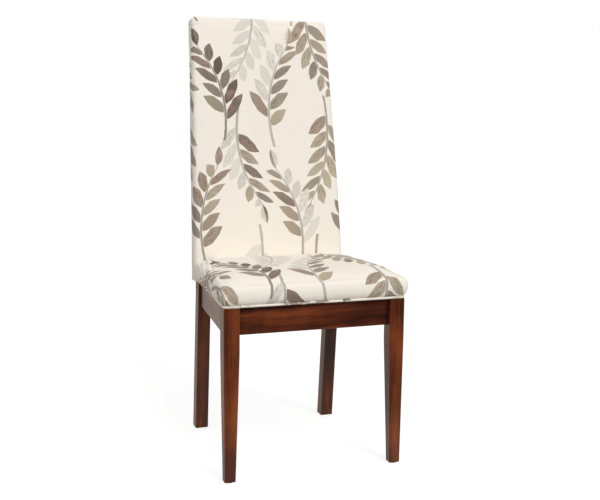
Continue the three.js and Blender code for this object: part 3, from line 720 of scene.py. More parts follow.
class Graph:
    """Adds nodes to a node tree, one short call for each. A value may be a number or a socket."""

    def __init__(self, tree):
        self.tree = tree

    def add(self, kind, values=(), **settings):
        node = self.tree.nodes.new("ShaderNode" + kind)
        for name, value in settings.items():
            setattr(node, name, value)
        for key, value in (values.items() if isinstance(values, dict) else enumerate(values)):
            self.put(node.inputs[key], value)
        return node

    def put(self, socket, value):
        if isinstance(value, bpy.types.NodeSocket):
            self.tree.links.new(value, socket)
        elif value is not None:
            socket.default_value = value

    def math(self, operation, *values, clamp=False):
        result = self.add("Math", values, operation=operation).outputs[0]
        return self.add("Clamp", [result]).outputs[0] if clamp else result

    def sum(self, *values):
        total = values[0]
        for value in values[1:]:
            total = self.math("ADD", total, value)
        return total

    def product(self, *values):
        total = values[0]
        for value in values[1:]:
            total = self.math("MULTIPLY", total, value)
        return total

    def vector(self, operation, *values):
        return self.add("VectorMath", values, operation=operation).outputs[0]

    def mix(self, share, low, high, kind="FLOAT", blend="MIX"):
        node = self.add("Mix", data_type=kind, blend_type=blend)
        first = {"FLOAT": 2, "VECTOR": 4, "RGBA": 6}[kind]
        self.put(node.inputs[0], share)
        self.put(node.inputs[first], low)
        self.put(node.inputs[first + 1], high)
        return node.outputs[{"FLOAT": 0, "VECTOR": 1, "RGBA": 2}[kind]]

    def tint(self, share, low, high, blend="MIX"):
        return self.mix(share, solid(low), solid(high), "RGBA", blend)

    def within(self, value, low, high):
        """1 between these values, else 0."""
        return self.product(self.math("GREATER_THAN", value, low), self.math("LESS_THAN", value, high))

    def split(self, vector):
        return self.add("SeparateXYZ", [vector]).outputs[:3]

    def join(self, *values):
        return self.add("CombineXYZ", values).outputs[0]

    def noise(self, vector, scale, detail=2.0, rough=0.5, output=0):
        node = self.add("TexNoise", {"Vector": vector, "Scale": scale, "Detail": detail, "Roughness": rough})
        return node.outputs[output]

    def place(self):
        """Where a point of the piece lies, in its Object coordinates."""
        return self.add("TexCoord").outputs["Object"]

    def ramp(self, share, stops):
        node = self.add("ValToRGB", [share])
        while len(node.color_ramp.elements) < len(stops):
            node.color_ramp.elements.new(1)
        for element, (place, tint) in zip(node.color_ramp.elements, stops):
            element.position = place
            element.color = solid(tint)
        return node.outputs[0]


def solid(tint):
    """A colour with its alpha; sockets stay as they are."""
    return tint if isinstance(tint, bpy.types.NodeSocket) else (*tuple(tint)[:3], 1.0)


def new_material(name):
    """A material of one Principled shader, and its graph and shader."""
    material = bpy.data.materials.new(name)
    material.use_nodes = True
    graph = Graph(material.node_tree)
    shader = material.node_tree.nodes["Principled BSDF"]
    return material, graph, shader


def finish_material(graph, shader, tint, roughness, height, distance, strength):
    graph.put(shader.inputs["Base Color"], tint)
    graph.put(shader.inputs["Roughness"], roughness)
    bump = graph.add("Bump", {"Strength": strength, "Distance": distance, "Height": height})
    graph.put(shader.inputs["Normal"], bump.outputs[0])


LEAF_SLANT = radians(44)  # between a leaf and its stem, at the stem's root
LEAF_CLOSING = radians(13)  # by how much less at the stem's tip
LEAF_GAP = 0.0052  # from the stem's middle to a leaf
YARN_STEP = 0.0004  # softness of a woven outline
SPRAY_INPUTS = ("Length", "Bow", "Leaf", "Pitch", "Seed", "Tone", "Pale left", "Pale right")


def spray_group():
    """The group that draws one spray: a bowed stem from the origin up +Y, with leaves on both sides."""
    group = bpy.data.node_groups.new("Leaf spray", "ShaderNodeTree")
    socket = group.interface.new_socket
    socket("Place", in_out="INPUT", socket_type="NodeSocketVector")
    for name in SPRAY_INPUTS:
        socket(name, in_out="INPUT", socket_type="NodeSocketFloat")
    for name in ("Leaf mask", "Stem mask"):
        socket(name, in_out="OUTPUT", socket_type="NodeSocketFloat")
    for name in ("Look", "Chance"):
        socket(name, in_out="OUTPUT", socket_type="NodeSocketVector")
    g = Graph(group)
    given = group.nodes.new("NodeGroupInput").outputs
    made = group.nodes.new("NodeGroupOutput").inputs
    x, y, _ = g.split(given["Place"])
    share = g.math("DIVIDE", y, given["Length"], clamp=True)
    bow = g.product(given["Bow"], 4, share, g.math("SUBTRACT", 1, share))
    aside = g.math("SUBTRACT", x, bow)
    side = g.math("SIGN", aside)
    out = g.math("ABSOLUTE", aside)

    shift = g.product(side, given["Pitch"], 0.25)
    closing = g.math("SUBTRACT", LEAF_SLANT, g.product(share, LEAF_CLOSING))
    rooted = g.math("SUBTRACT", g.sum(y, shift), g.math("DIVIDE", out, g.math("TANGENT", closing)))
    number = g.math("FLOOR", g.math("DIVIDE", rooted, given["Pitch"]))
    root = g.math("SUBTRACT", g.product(g.sum(number, 0.5), given["Pitch"]), shift)
    grown = g.math("DIVIDE", root, given["Length"])
    slant = g.math("SUBTRACT", LEAF_SLANT, g.product(grown, LEAF_CLOSING))
    dice = g.add("TexWhiteNoise", {"Vector": g.join(number, side, given["Seed"])}).outputs["Color"]
    first, second, third = g.add("SeparateColor", [dice]).outputs[:3]
    taper = g.math("SUBTRACT", 1, g.product(g.math("POWER", g.math("MAXIMUM", grown, 0), 2), 0.4))
    size = g.product(given["Leaf"], taper, g.sum(0.86, g.product(second, 0.22)))
    above = g.math("SUBTRACT", y, root)
    sine, cosine = g.math("SINE", slant), g.math("COSINE", slant)
    axis = g.sum(g.product(out, sine), g.product(above, cosine))
    run = g.math("DIVIDE", g.math("SUBTRACT", axis, LEAF_GAP), size)
    across = g.math("SUBTRACT", g.product(above, sine), g.product(out, cosine))

    tip_size = g.product(given["Leaf"], 0.68)
    tip_run = g.math("DIVIDE", g.math("SUBTRACT", y, g.product(given["Length"], 1.012)), tip_size)
    at_tip = g.math("GREATER_THAN", tip_run, 0)
    run = g.mix(at_tip, run, tip_run)
    across = g.mix(at_tip, across, x)
    size = g.mix(at_tip, size, tip_size)
    held = g.math("MAXIMUM", g.within(grown, 0.12, 0.94), at_tip)

    skewed = g.math("POWER", g.math("MINIMUM", g.math("MAXIMUM", run, 0), 1), 0.9)
    swell = g.product(4, skewed, g.math("SUBTRACT", 1, skewed))
    curved = g.math("SUBTRACT", across, g.product(size, g.math("SUBTRACT", swell, 0.4), 0.055))
    half = g.product(size, g.math("POWER", g.math("MAXIMUM", swell, 0), 1.08), 0.2)
    room = g.math("SUBTRACT", half, g.math("ABSOLUTE", curved))
    leaf = g.product(g.math("DIVIDE", room, YARN_STEP, clamp=True), held, g.within(run, 0.001, 0.999))
    stem_half = g.mix(g.math("POWER", share, 1.4), 0.0039, 0.0013)
    stem_room = g.math("DIVIDE", g.math("SUBTRACT", stem_half, out), YARN_STEP, clamp=True)
    g.put(made["Leaf mask"], leaf)
    stem = g.product(stem_room, g.within(y, 0, g.product(given["Length"], 1.02)), g.math("SUBTRACT", 1, leaf))
    g.put(made["Stem mask"], stem)
    pale = g.mix(g.math("GREATER_THAN", side, 0), given["Pale left"], given["Pale right"])
    pale = g.math("GREATER_THAN", g.sum(pale, g.product(third, 0.5)), 0.9)
    tone = g.sum(given["Tone"], g.product(g.math("SUBTRACT", first, 0.5), 0.55))
    g.put(made["Look"], g.join(g.math("MINIMUM", g.math("MAXIMUM", tone, 0), 1), run,
                               g.math("DIVIDE", curved, g.math("MAXIMUM", half, 0.0001))))
    g.put(made["Chance"], g.join(second, third, pale))
    return group


REPEAT = (0.42, 0.66)  # width and height of one repeat of the cloth
FAR_OFF = 9.0  # how far a spray is moved away where another is already drawn
# Sprays of one repeat, the uppermost first: centre, turn in degrees, length, bow, leaf, pitch, seed,
# tone from dark to light, paleness of the left and right leaves
SPRAYS = [
    (0.055, 0.165, 14, 0.27, 0.03, 0.08, 0.041, 1.7, 0.5, 0, 0.75),
    (0.045, 0.495, 350, 0.28, -0.032, 0.08, 0.042, 5.5, 0.62, 0.8, 0),
    (0.17, 0.64, 194, 0.28, 0.03, 0.08, 0.041, 3.9, 0.66, 0, 0.1),
    (0.145, 0.352, 170, 0.3, -0.028, 0.082, 0.042, 7.4, 0.7, 0, 0),
    (0.26, 0.17, 352, 0.27, -0.03, 0.078, 0.041, 2.9, 0.56, 0, 0),
    (0.27, 0.5, 14, 0.26, 0.03, 0.078, 0.04, 6.6, 0.22, 0, 0),
    (0.372, 0.335, 192, 0.27, 0.03, 0.076, 0.04, 9.3, 0.48, 0, 0.8),
    (0.362, 0.015, 168, 0.27, -0.028, 0.076, 0.039, 4.3, 0.5, 1, 1),
]


def leafy_pattern(g, cloth):
    """Draws the sprays over the cloth's flat coordinates: leaf and stem masks, looks and chances."""
    wobble = g.vector("SUBTRACT", g.noise(cloth, 60, output=1), (0.5, 0.5, 0.5))
    drawn = g.vector("MULTIPLY_ADD", wobble, (0.003, 0.003, 0), cloth)
    group = spray_group()
    leaf, stem, look, chance, stem_tone = 0.0, 0.0, (0, 0, 0), (0, 0, 0), 0.0
    for x, y, turn, *spray in SPRAYS:
        size, *_, tone, pale_left, pale_right = spray
        near = g.vector("SUBTRACT", drawn, (x, y, 0))
        near = g.vector("WRAP", near, (REPEAT[0] / 2, REPEAT[1] / 2, 1), (-REPEAT[0] / 2, -REPEAT[1] / 2, -1))
        turned = g.add("VectorRotate", {"Vector": near, "Angle": radians(-turn)}, rotation_type="Z_AXIS")
        # what is already drawn on stays: there, this spray is moved away
        away = g.join(g.product(g.sum(leaf, stem), FAR_OFF), size / 2, 0)
        node = g.tree.nodes.new("ShaderNodeGroup")
        node.node_tree = group
        g.put(node.inputs["Place"], g.vector("ADD", turned.outputs[0], away))
        for name, value in zip(SPRAY_INPUTS, spray):
            g.put(node.inputs[name], value)
        own_leaf, own_stem, own_look, own_chance = node.outputs[:4]
        look = g.mix(own_leaf, look, own_look, "VECTOR")
        chance = g.mix(own_leaf, chance, own_chance, "VECTOR")
        stem_tone = g.mix(own_stem, stem_tone, min(pale_left + pale_right, 1) * 0.45 + tone * 0.5)
        leaf = g.sum(leaf, own_leaf)
        stem = g.sum(stem, own_stem)
    return leaf, stem, stem_tone, look, chance


def leafy_cloth(name):
    """Cream jacquard with leafy sprays, drawn on the flat cloth in metres."""
    colours = bpy.context.scene.chair_cloth
    material, g, shader = new_material(name)
    cloth = g.add("UVMap", uv_map="cloth").outputs[0]
    u, v, _ = g.split(cloth)
    leaf, stem, stem_tone, look, chance = leafy_pattern(g, cloth)
    tone, run, across = g.split(look)
    size_dice, vein_dice, pale = g.split(chance)

    tint = g.ramp(tone, [(0, colours.dark), (0.35, colours.brown), (0.7, colours.taupe), (1, colours.khaki)])
    patch = g.noise(cloth, 45, 2.0)
    heart = g.product(g.math("SUBTRACT", 1, g.math("POWER", g.math("ABSOLUTE", across), 2)),
                      g.math("GREATER_THAN", size_dice, 0.62), g.math("LESS_THAN", tone, 0.7),
                      g.math("SUBTRACT", g.product(patch, 4), 1.7, clamp=True))
    tint = g.tint(g.product(heart, 0.75), tint, colours.russet)
    streak = g.noise(g.vector("MULTIPLY", cloth, (70, 1100, 1)), 1, 2.0)
    shade = g.sum(0.78, g.product(run, 0.14), g.product(streak, 0.3))
    tint = g.tint(1.0, tint, g.join(shade, shade, shade), "MULTIPLY")
    tint = g.tint(pale, tint, g.tint(size_dice, colours.pale, colours.ghost))
    wavy = g.sum(g.product(across, 9), g.product(run, 3), g.product(g.noise(cloth, 90, 2.0), 9))
    vein = g.math("GREATER_THAN", g.math("SINE", wavy), 0.55)
    vein = g.product(vein, g.math("GREATER_THAN", vein_dice, 0.45), g.within(across, -0.85, 0.85),
                     g.math("SUBTRACT", g.product(g.noise(cloth, 70, 1.0), 5), 1.9, clamp=True))
    vein_tint = g.tint(pale, colours.dark, colours.taupe)
    tint = g.tint(g.product(vein, 0.6), tint, vein_tint)

    slub = g.noise(g.vector("MULTIPLY", cloth, (1400, 160, 1)), 1, 3.0)
    warmth = g.sum(0.965, g.product(slub, 0.07))
    ground = g.tint(1.0, colours.ground, g.join(warmth, warmth, warmth), "MULTIPLY")
    stem_tint = g.tint(g.product(stem_tone, 0.9), colours.stem, colours.pale)
    look_all = g.tint(stem, ground, stem_tint)
    look_all = g.tint(leaf, look_all, tint)

    warp = g.math("SINE", g.product(u, 2 * pi / 0.0011))
    weft = g.math("SINE", g.product(v, 2 * pi / 0.0009))
    height = g.sum(g.product(warp, weft, 0.3), g.product(slub, 0.5))
    roughness = g.mix(g.math("MAXIMUM", leaf, stem), 0.88, 0.64)
    finish_material(g, shader, look_all, roughness, height, 0.0005, 0.4)
    shader.inputs["Sheen Weight"].default_value = 0.08
    shader.inputs["Sheen Roughness"].default_value = 0.45
    shader.inputs["Specular IOR Level"].default_value = 0.25
    return material


def stained_wood(name, turn):
    """Satin stained wood whose grain runs along Z after this turn."""
    colours = bpy.context.scene.chair_wood
    material, g, shader = new_material(name)
    place = g.place()
    mapped = g.add("Mapping", {"Vector": place, "Rotation": turn}).outputs[0]
    drift = g.vector("MULTIPLY_ADD", g.noise(mapped, 3, 2.0, output=1), (0.05, 0.05, 0), mapped)
    rings = g.noise(g.vector("MULTIPLY", drift, (26, 26, 1.3)), 1, 4.0, 0.6)
    fibre = g.noise(g.vector("MULTIPLY", mapped, (520, 520, 9)), 1, 3.0)
    pores = g.noise(g.vector("MULTIPLY", mapped, (1500, 1500, 40)), 1, 1.0)
    cloudy = g.noise(mapped, 7, 3.0)
    grain = g.sum(g.product(rings, 0.62), g.product(fibre, 0.2), g.product(cloudy, 0.5))
    tint = g.ramp(grain, [(0.5, colours.deep), (0.64, colours.body), (0.82, colours.light)])
    dark_pore = g.math("GREATER_THAN", pores, 0.66)
    tint = g.tint(g.product(dark_pore, 0.35), tint, colours.deep)
    roughness = g.sum(0.27, g.product(fibre, 0.12), g.product(cloudy, 0.08))
    height = g.sum(g.product(fibre, 0.4), g.product(dark_pore, -0.4), g.product(cloudy, 0.6))
    finish_material(g, shader, tint, roughness, height, 0.0004, 0.25)
    shader.inputs["Specular IOR Level"].default_value = 0.36
    return material


def bare_wood(name):
    """Unfinished light wood of the hidden blocks and board."""
    material, g, shader = new_material(name)
    place = g.place()
    grain = g.noise(g.vector("MULTIPLY", place, (12, 90, 90)), 1, 4.0, 0.6)
    fibre = g.noise(g.vector("MULTIPLY", place, (60, 700, 700)), 1, 2.0)
    tint = g.ramp(g.sum(g.product(grain, 0.8), g.product(fibre, 0.2)),
                  [(0.3, paint("#a98656")), (0.5, paint("#c9a878")), (0.7, paint("#dcc199"))])
    finish_material(g, shader, tint, g.sum(0.6, g.product(fibre, 0.2)), fibre, 0.0004, 0.3)
    return material


def zinc_steel(name):
    material, g, shader = new_material(name)
    place = g.place()
    spangle = g.noise(place, 900, 2.0)
    tint = g.ramp(spangle, [(0.3, paint("#a8a59a")), (0.7, paint("#cfccc2"))])
    finish_material(g, shader, tint, g.sum(0.25, g.product(spangle, 0.2)), spangle, 0.0002, 0.2)
    shader.inputs["Metallic"].default_value = 1.0
    return material


def moulded_plastic(name):
    material, g, shader = new_material(name)
    place = g.place()
    grain = g.noise(place, 1600, 2.0)
    tint = g.ramp(g.noise(place, 60, 2.0), [(0.3, paint("#292523")), (0.7, paint("#37322f"))])
    finish_material(g, shader, tint, g.sum(0.45, g.product(grain, 0.15)), grain, 0.0002, 0.3)
    return material


def open_foam(name):
    material, g, shader = new_material(name)
    place = g.place()
    cells = g.add("TexVoronoi", {"Vector": place, "Scale": 700.0}).outputs["Distance"]
    tint = g.ramp(cells, [(0.1, paint("#c9ba84")), (0.6, paint("#ece1b4"))])
    finish_material(g, shader, tint, 0.95, cells, 0.0008, 0.6)
    return material


def woven_strap(name):
    material, g, shader = new_material(name)
    u, v, _ = g.split(g.add("UVMap", uv_map="cloth").outputs[0])
    warp = g.math("SINE", g.product(u, 2 * pi / 0.004))
    weft = g.math("SINE", g.product(v, 2 * pi / 0.003))
    over = g.product(warp, weft)
    tint = g.ramp(g.sum(0.5, g.product(over, 0.5)), [(0.2, paint("#6f5a3c")), (0.8, paint("#a08762"))])
    finish_material(g, shader, tint, 0.85, over, 0.0008, 0.6)
    return material


def dust_cloth_material(name):
    material, g, shader = new_material(name)
    place = g.place()
    fibres = g.noise(g.vector("MULTIPLY", place, (500, 500, 500)), 1, 4.0, 0.7)
    tint = g.ramp(fibres, [(0.35, paint("#141416")), (0.7, paint("#2b2b2e"))])
    finish_material(g, shader, tint, 0.92, fibres, 0.0006, 0.5)
    return material


# Operators, one for each piece or group of like pieces

# Materials of the stained pieces: the turn of the grain, the width of the eased edges, and the pieces
STAINED_PIECES = {
    "stained_wood_upright": ((0, 0, 0), 0.0005,
                             ("front_left_leg", "front_right_leg", "rear_left_post", "rear_right_post")),
    "stained_wood_across": ((0, radians(90), 0), 0.0011, ("front_rail", "rear_rail")),
    "stained_wood_along": ((radians(90), 0, 0), 0.0011, ("left_side_rail", "right_side_rail")),
}


def ease_edges(piece, width):
    """Rounds a wooden piece's sharp edges, with modifiers that leave its mesh as it is."""
    weld = piece.modifiers.new("weld", "WELD")
    weld.merge_threshold = 0.00001
    planes = piece.modifiers.new("planes", "DECIMATE")
    planes.decimate_type = "DISSOLVE"
    planes.angle_limit = radians(0.05)
    bevel = piece.modifiers.new("ease", "BEVEL")
    bevel.width = width
    bevel.segments = 3
    bevel.limit_method = "ANGLE"
    bevel.angle_limit = radians(30)
    bevel.use_clamp_overlap = False
    bevel.harden_normals = True


class CHAIR_OT_wood(bpy.types.Operator):
    """Stains the legs, posts and rails and eases their edges"""
    bl_idname = "chair.wood"
    bl_label = "Wooden frame"

    def execute(self, context):
        for name, (turn, edge, nodes) in STAINED_PIECES.items():
            material = stained_wood(name, turn)
            for node in nodes:
                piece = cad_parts[node]
                dress(piece, material)
                ease_edges(piece, edge)
        return {"FINISHED"}


class CHAIR_OT_joinery(bpy.types.Operator):
    """Finishes the corner blocks, inner rails, board, screws and glides"""
    bl_idname = "chair.joinery"
    bl_label = "Blocks, screws and glides"

    def execute(self, context):
        kinds = [
            (bare_wood("bare_wood"),
             ("corner_block", "seat_board", "back_top_rail", "back_middle_rail", "back_bottom_rail")),
            (zinc_steel("zinc_steel"), ("cross_rail_screw", "side_rail_screw", "seat_screw")),
            (moulded_plastic("glide_plastic"), ("glide",)),
        ]
        for material, starts in kinds:
            for name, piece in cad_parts.items():
                if name.startswith(starts):
                    dress(piece, material)
        return {"FINISHED"}


FOAM_ROOM = 0.0022  # by how much the foam is smaller than its space, so that the cloth's folds clear it


class CHAIR_OT_foam(bpy.types.Operator):
    """Fills the seat and the back with foam and wadding"""
    bl_idname = "chair.foam"
    bl_label = "Foam"

    def execute(self, context):
        material = open_foam("open_foam")
        for name, node in list(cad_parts.items()):
            if not name.endswith(("foam", "padding")):
                continue
            pad = rename(add_object(name + "_pad", node.data.copy()), name + "_pad")
            merge(pad, distance=0.00002)
            push(pad, np.full(len(pad.data.vertices), -FOAM_ROOM))
            stand_in(pad, material, name)
        return {"FINISHED"}


# Folds beside the seat: start and end as (past the top's side, behind its front), bow, width, height
LEFT_FOLDS = [
    ((-0.034, 0.325), (0.012, 0.02), 0.009, 0.0052, 0.0022),
    ((-0.018, 0.335), (0.022, 0.012), 0.009, 0.0046, 0.0032),
    ((-0.004, 0.335), (0.033, 0.008), 0.008, 0.0042, 0.0038),
    ((0.009, 0.335), (0.043, 0.012), 0.007, 0.004, 0.0038),
    ((0.022, 0.335), (0.051, 0.03), 0.005, 0.0038, 0.0034),
    ((0.034, 0.33), (0.057, 0.09), 0.003, 0.0036, 0.0028),
    ((-0.09, 0.346), (-0.006, 0.225), 0.018, 0.0048, 0.0018),
    ((-0.06, 0.348), (0.006, 0.245), 0.014, 0.0044, 0.0024),
    ((-0.036, 0.35), (0.016, 0.262), 0.01, 0.004, 0.0028),
    ((0.008, 0.15), (0.03, -0.004), 0.004, 0.004, 0.0016),
    ((0.03, 0.12), (0.05, 0.0), 0.002, 0.0036, 0.0016),
    ((0.004, -0.001), (0.046, -0.016), -0.003, 0.0042, 0.0013),
    ((0.005, -0.004), (0.036, -0.034), 0.002, 0.0042, 0.0015),
    ((0.0, -0.006), (0.014, -0.05), 0.003, 0.0045, 0.0012),
    ((-0.03, 0.004), (-0.012, -0.046), 0.003, 0.006, 0.0008),
]
RIGHT_FOLDS = [
    ((-0.03, 0.32), (0.014, 0.03), 0.007, 0.0052, 0.0018),
    ((-0.01, 0.33), (0.03, 0.014), 0.007, 0.0046, 0.0026),
    ((0.008, 0.33), (0.042, 0.02), 0.006, 0.0042, 0.003),
    ((0.024, 0.33), (0.053, 0.06), 0.004, 0.004, 0.0026),
    ((0.036, 0.33), (0.057, 0.14), 0.002, 0.0036, 0.002),
    ((0.004, -0.002), (0.044, -0.02), -0.003, 0.0044, 0.0012),
    ((0.004, -0.005), (0.03, -0.04), 0.002, 0.0044, 0.0013),
    ((-0.02, 0.002), (0.0, -0.048), 0.003, 0.006, 0.0009),
    ((-0.06, 0.01), (-0.03, -0.044), 0.004, 0.007, 0.0007),
]
PUCKERS_START, PUCKERS_FULL = 0.026, 0.046  # out from the top's edge, where the puckers begin and are full
PUCKERS_FADE, PUCKERS_END = 0.055, 0.064  # and where they fade and end
PUCKER_HEIGHT = 0.0007
REAR_PUCKER_HEIGHT = 0.0016  # how much higher the puckers are at the rear of the sides
HIGHER_STARTS, HIGHER_FULL = 0.06, 0.2  # behind the top's front, where that begins and is so in full


def seat_creases(lay):
    """How far the seat's cloth stands out or in: draw folds along the sides, gathers at the front corners,
    puckers above the welt and soft unevenness."""
    sizes = bpy.context.scene.chair_seat
    front = FRONT_FACE + sizes.setback + sizes.corner
    past = np.abs(lay[:, 0]) - (seat_half(lay[:, 1]) - sizes.corner)
    behind = lay[:, 1] - front
    edge = np.maximum(np.maximum(past, -behind), 0)
    round_corner = np.hypot(np.maximum(past, 0), np.maximum(-behind, 0))
    around = np.where(behind < 0, lay[:, 0], np.sign(lay[:, 0]) * (behind + sizes.front_half))
    total = ripples(lay, size=0.06, height=0.0013, seed=3.1)
    total += ripples(lay, size=0.02, height=0.0003, seed=8.4)
    total += side_folds(lay, past, behind, LEFT_FOLDS, RIGHT_FOLDS)
    low = smoothstep(np.maximum(edge, round_corner), PUCKERS_START, PUCKERS_FULL)
    low = low * (1 - smoothstep(round_corner, PUCKERS_FADE, PUCKERS_END))
    crumple = PUCKER_HEIGHT + REAR_PUCKER_HEIGHT * smoothstep(behind, HIGHER_STARTS, HIGHER_FULL)
    puckers = np.array([noise.noise((a / 0.009, r / 0.05, 6.1)) for a, r in zip(around, round_corner)])
    return total + low * crumple * puckers


class CHAIR_OT_seat(bpy.types.Operator):
    """Covers the seat: cloth drawn over the padding and turned in under the board"""
    bl_idname = "chair.seat"
    bl_label = "Seat cover"

    def execute(self, context):
        upholster(seat_cloth(), cap=0.003, pressure=4, creases=seat_creases,
                  thickness=context.scene.chair_seat.cloth, node="seat_cover")
        return {"FINISHED"}


class CHAIR_OT_back(bpy.types.Operator):
    """Covers the back: cloth wrapped round its edges"""
    bl_idname = "chair.back"
    bl_label = "Back cover"

    def execute(self, context):
        upholster(back_cloth(), cap=0.002, pressure=2, creases=back_creases,
                  thickness=context.scene.chair_back.cloth, node="back_cover")
        return {"FINISHED"}


class CHAIR_OT_outer_back(bpy.types.Operator):
    """Closes the rear of the back with a panel of cloth"""
    bl_idname = "chair.outer_back"
    bl_label = "Outer back"

    def execute(self, context):
        upholster(outer_panel_cloth(), cap=0.0015, pressure=1, creases=outer_creases,
                  thickness=context.scene.chair_back.cloth, node="back_outer_panel")
        return {"FINISHED"}


class CHAIR_OT_welt(bpy.types.Operator):
    """Runs the welt along the seat's lower edge"""
    bl_idname = "chair.welt"
    bl_label = "Welt"

    def execute(self, context):
        cord = welt_cord()
        smooth(cord)
        stand_in(cord, bpy.data.materials["leafy_cloth"], "seat_welt")
        return {"FINISHED"}


class CHAIR_OT_webbing(bpy.types.Operator):
    """Stretches the webbing straps across the posts, behind the foam"""
    bl_idname = "chair.webbing"
    bl_label = "Webbing"

    def execute(self, context):
        material = woven_strap("woven_strap")
        for number, start in enumerate(STRAP_STARTS, 1):
            piece = strap(f"back_strap_{number}", start)
            apply(piece, "SOLIDIFY", thickness=STRAP_THICKNESS, offset=-1)
            stand_in(piece, material, f"back_webbing_{number}")
        return {"FINISHED"}


class CHAIR_OT_dust_cloth(bpy.types.Operator):
    """Stretches a thin black cloth below the seat board"""
    bl_idname = "chair.dust_cloth"
    bl_label = "Dust cloth"

    def execute(self, context):
        sheet = dust_sheet()
        low, high = points_of(sheet).min(axis=0), points_of(sheet).max(axis=0)
        apply(sheet, "SOLIDIFY", thickness=DUST_THICKNESS, offset=-1)
        smooth(sheet)
        stand_in(sheet, dust_cloth_material("dust_cloth"), "seat_dust_cover")
        return {"FINISHED"}


# Where the photograph was taken from, and its lens
CAMERA_PLACE = (-0.766, -2.2906, 0.869)
CAMERA_TURN = -0.34
CAMERA_DOWN = 0.146
CAMERA_ROLL = 0.01
CAMERA_LENS = 56.23


def make_camera():
    data = bpy.data.cameras.new("camera")
    data.lens = CAMERA_LENS
    camera = add_object("camera", data)
    turn = (Matrix.Rotation(CAMERA_TURN, 4, "Z") @ Matrix.Rotation(pi / 2 - CAMERA_DOWN, 4, "X")
            @ Matrix.Rotation(CAMERA_ROLL, 4, "Z"))
    camera.matrix_world = Matrix.Translation(CAMERA_PLACE) @ turn
    bpy.context.scene.camera = camera


# Lamps as even as the sun: name, turn about the chair and height in degrees, strength, softness in degrees
SUNS = [("key", 16, 42, 1.5, 26), ("fill", -50, 35, 0.2, 60)]


def make_suns():
    for name, turn, rise, strength, softness in SUNS:
        data = bpy.data.lights.new(name, "SUN")
        data.energy = strength
        data.angle = radians(softness)
        lamp = add_object(name, data)
        lamp.rotation_euler = (pi / 2 - radians(rise), 0, radians(turn))


FLOOR_SIZE = 16
FLOOR_FRONT = 0.6  # from the chair's middle to the floor's front edge
FLOOR_SHADE = 0.32  # how much of the light on it the floor shows, and so how dark its shadows look
FLOOR_GLOW = 0.8  # how much light of its own it shows besides
FLOOR_BOUNCE = 0.42  # how much light it throws back at the chair
DIM_ROOM = 0.03  # brightness of the room in front of the chair, in gloss
ROOM_SIDES = 0.75  # share of the way from there to white, at the sides of the room
ROOM_RISE = 1.6  # how fast that share rises towards the rear
SOFT_LIGHT = 0.5  # light from all round
SKY_GAIN = 0.1  # how much more of it comes from straight above
WARM_MIRROR = (0.83, 0.74, 0.63)  # colour of the white room, in gloss


def seen_directly(g):
    """1 for rays from the camera, in gloss and through glass, else 0."""
    path = g.add("LightPath").outputs
    seen = g.math("MAXIMUM", path["Is Camera Ray"], path["Is Glossy Ray"])
    return g.math("MAXIMUM", seen, path["Is Transmission Ray"])


def make_floor():
    """A pale floor that looks white and keeps a soft shadow. It ends in front of the chair, so that the
    fronts of the legs and rails mirror the dim side of the room."""
    deselect()
    bpy.ops.mesh.primitive_plane_add(size=FLOOR_SIZE, location=(0, FLOOR_SIZE / 2 - FLOOR_FRONT, 0))
    bpy.ops.object.transform_apply(location=True)
    floor = rename(bpy.context.object, "floor")
    material = bpy.data.materials.new("floor")
    material.use_nodes = True
    tree = material.node_tree
    tree.nodes.clear()
    g = Graph(tree)
    mirrored = g.add("LightPath").outputs["Is Glossy Ray"]
    lit = g.add("BsdfDiffuse", {"Color": solid([FLOOR_SHADE] * 3)})
    glow = g.add("Emission", {"Color": g.tint(mirrored, (1, 1, 1), WARM_MIRROR), "Strength": FLOOR_GLOW})
    both = g.add("AddShader", [lit.outputs[0], glow.outputs[0]])
    plain = g.add("BsdfDiffuse", {"Color": solid([FLOOR_BOUNCE] * 3)})
    mixed = g.add("MixShader", [seen_directly(g), plain.outputs[0], both.outputs[0]])
    out = g.add("OutputMaterial")
    g.put(out.inputs["Surface"], mixed.outputs[0])
    dress(floor, material)


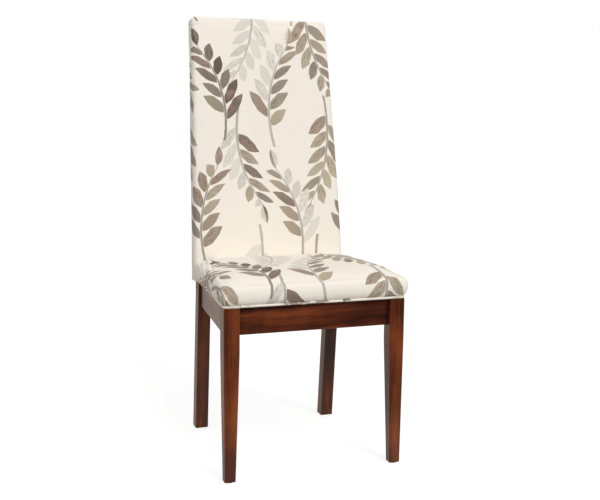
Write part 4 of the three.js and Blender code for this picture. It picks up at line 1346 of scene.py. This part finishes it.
def make_world():
    """White behind everything the camera sees. Its light is softest from above; in gloss it is dim from the
    front and a warm white from the rest."""
    world = bpy.data.worlds.new("studio")
    bpy.context.scene.world = world
    world.use_nodes = True
    tree = world.node_tree
    tree.nodes.clear()
    g = Graph(tree)
    path = g.add("LightPath").outputs
    _, towards, upwards = g.split(g.add("TexCoord").outputs["Generated"])
    backdrop = g.math("MULTIPLY_ADD", towards, ROOM_RISE, ROOM_SIDES, clamp=True)
    mirrored = g.sum(DIM_ROOM, g.product(backdrop, 1 - DIM_ROOM))
    soft = g.math("MULTIPLY_ADD", g.math("MAXIMUM", upwards, 0), SKY_GAIN, SOFT_LIGHT)
    strength = g.mix(path["Is Glossy Ray"], soft, mirrored)
    seen = g.math("MAXIMUM", path["Is Camera Ray"], path["Is Transmission Ray"])
    strength = g.mix(seen, strength, 1.0)
    tint = g.tint(path["Is Glossy Ray"], (1, 1, 1), WARM_MIRROR)
    light = g.add("Background", {"Color": tint, "Strength": strength})
    out = g.add("OutputWorld")
    g.put(out.inputs["Surface"], light.outputs[0])


class CHAIR_OT_stage(bpy.types.Operator):
    """Sets the camera, the lamps, the white surroundings and the pale floor"""
    bl_idname = "chair.stage"
    bl_label = "Studio"

    def execute(self, context):
        context.scene.view_settings.view_transform = "Standard"
        make_camera()
        make_world()
        make_floor()
        make_suns()
        return {"FINISHED"}


OPERATORS = [
    CHAIR_OT_wood, CHAIR_OT_joinery, CHAIR_OT_foam, CHAIR_OT_seat, CHAIR_OT_back, CHAIR_OT_outer_back,
    CHAIR_OT_welt, CHAIR_OT_webbing, CHAIR_OT_dust_cloth, CHAIR_OT_stage,
]
GROUPS = {
    "chair_seat": SeatSizes,
    "chair_back": BackSizes,
    "chair_cloth": ClothColours,
    "chair_wood": WoodColours,
}


class CHAIR_PT_panel(bpy.types.Panel):
    """Lists the chair's pieces and its sizes"""
    bl_idname = "CHAIR_PT_panel"
    bl_label = "Padded chair"
    bl_space_type = "VIEW_3D"
    bl_region_type = "UI"
    bl_category = "Chair"

    def draw(self, context):
        for operator in OPERATORS:
            self.layout.operator(operator.bl_idname)
        for name, group in GROUPS.items():
            box = self.layout.box()
            for size in group.__annotations__:
                box.prop(getattr(context.scene, name), size)


def register():
    for kind in (*GROUPS.values(), *OPERATORS, CHAIR_PT_panel):
        bpy.utils.register_class(kind)
    for name, group in GROUPS.items():
        setattr(bpy.types.Scene, name, PointerProperty(type=group))


def unregister():
    for name in GROUPS:
        delattr(bpy.types.Scene, name)
    for kind in reversed((*GROUPS.values(), *OPERATORS, CHAIR_PT_panel)):
        bpy.utils.unregister_class(kind)


def main():
    register()
    leafy_cloth("leafy_cloth")
    for operator in OPERATORS:
        group, name = operator.bl_idname.split(".")
        getattr(getattr(bpy.ops, group), name)()


if __name__ == "__main__":
    main()
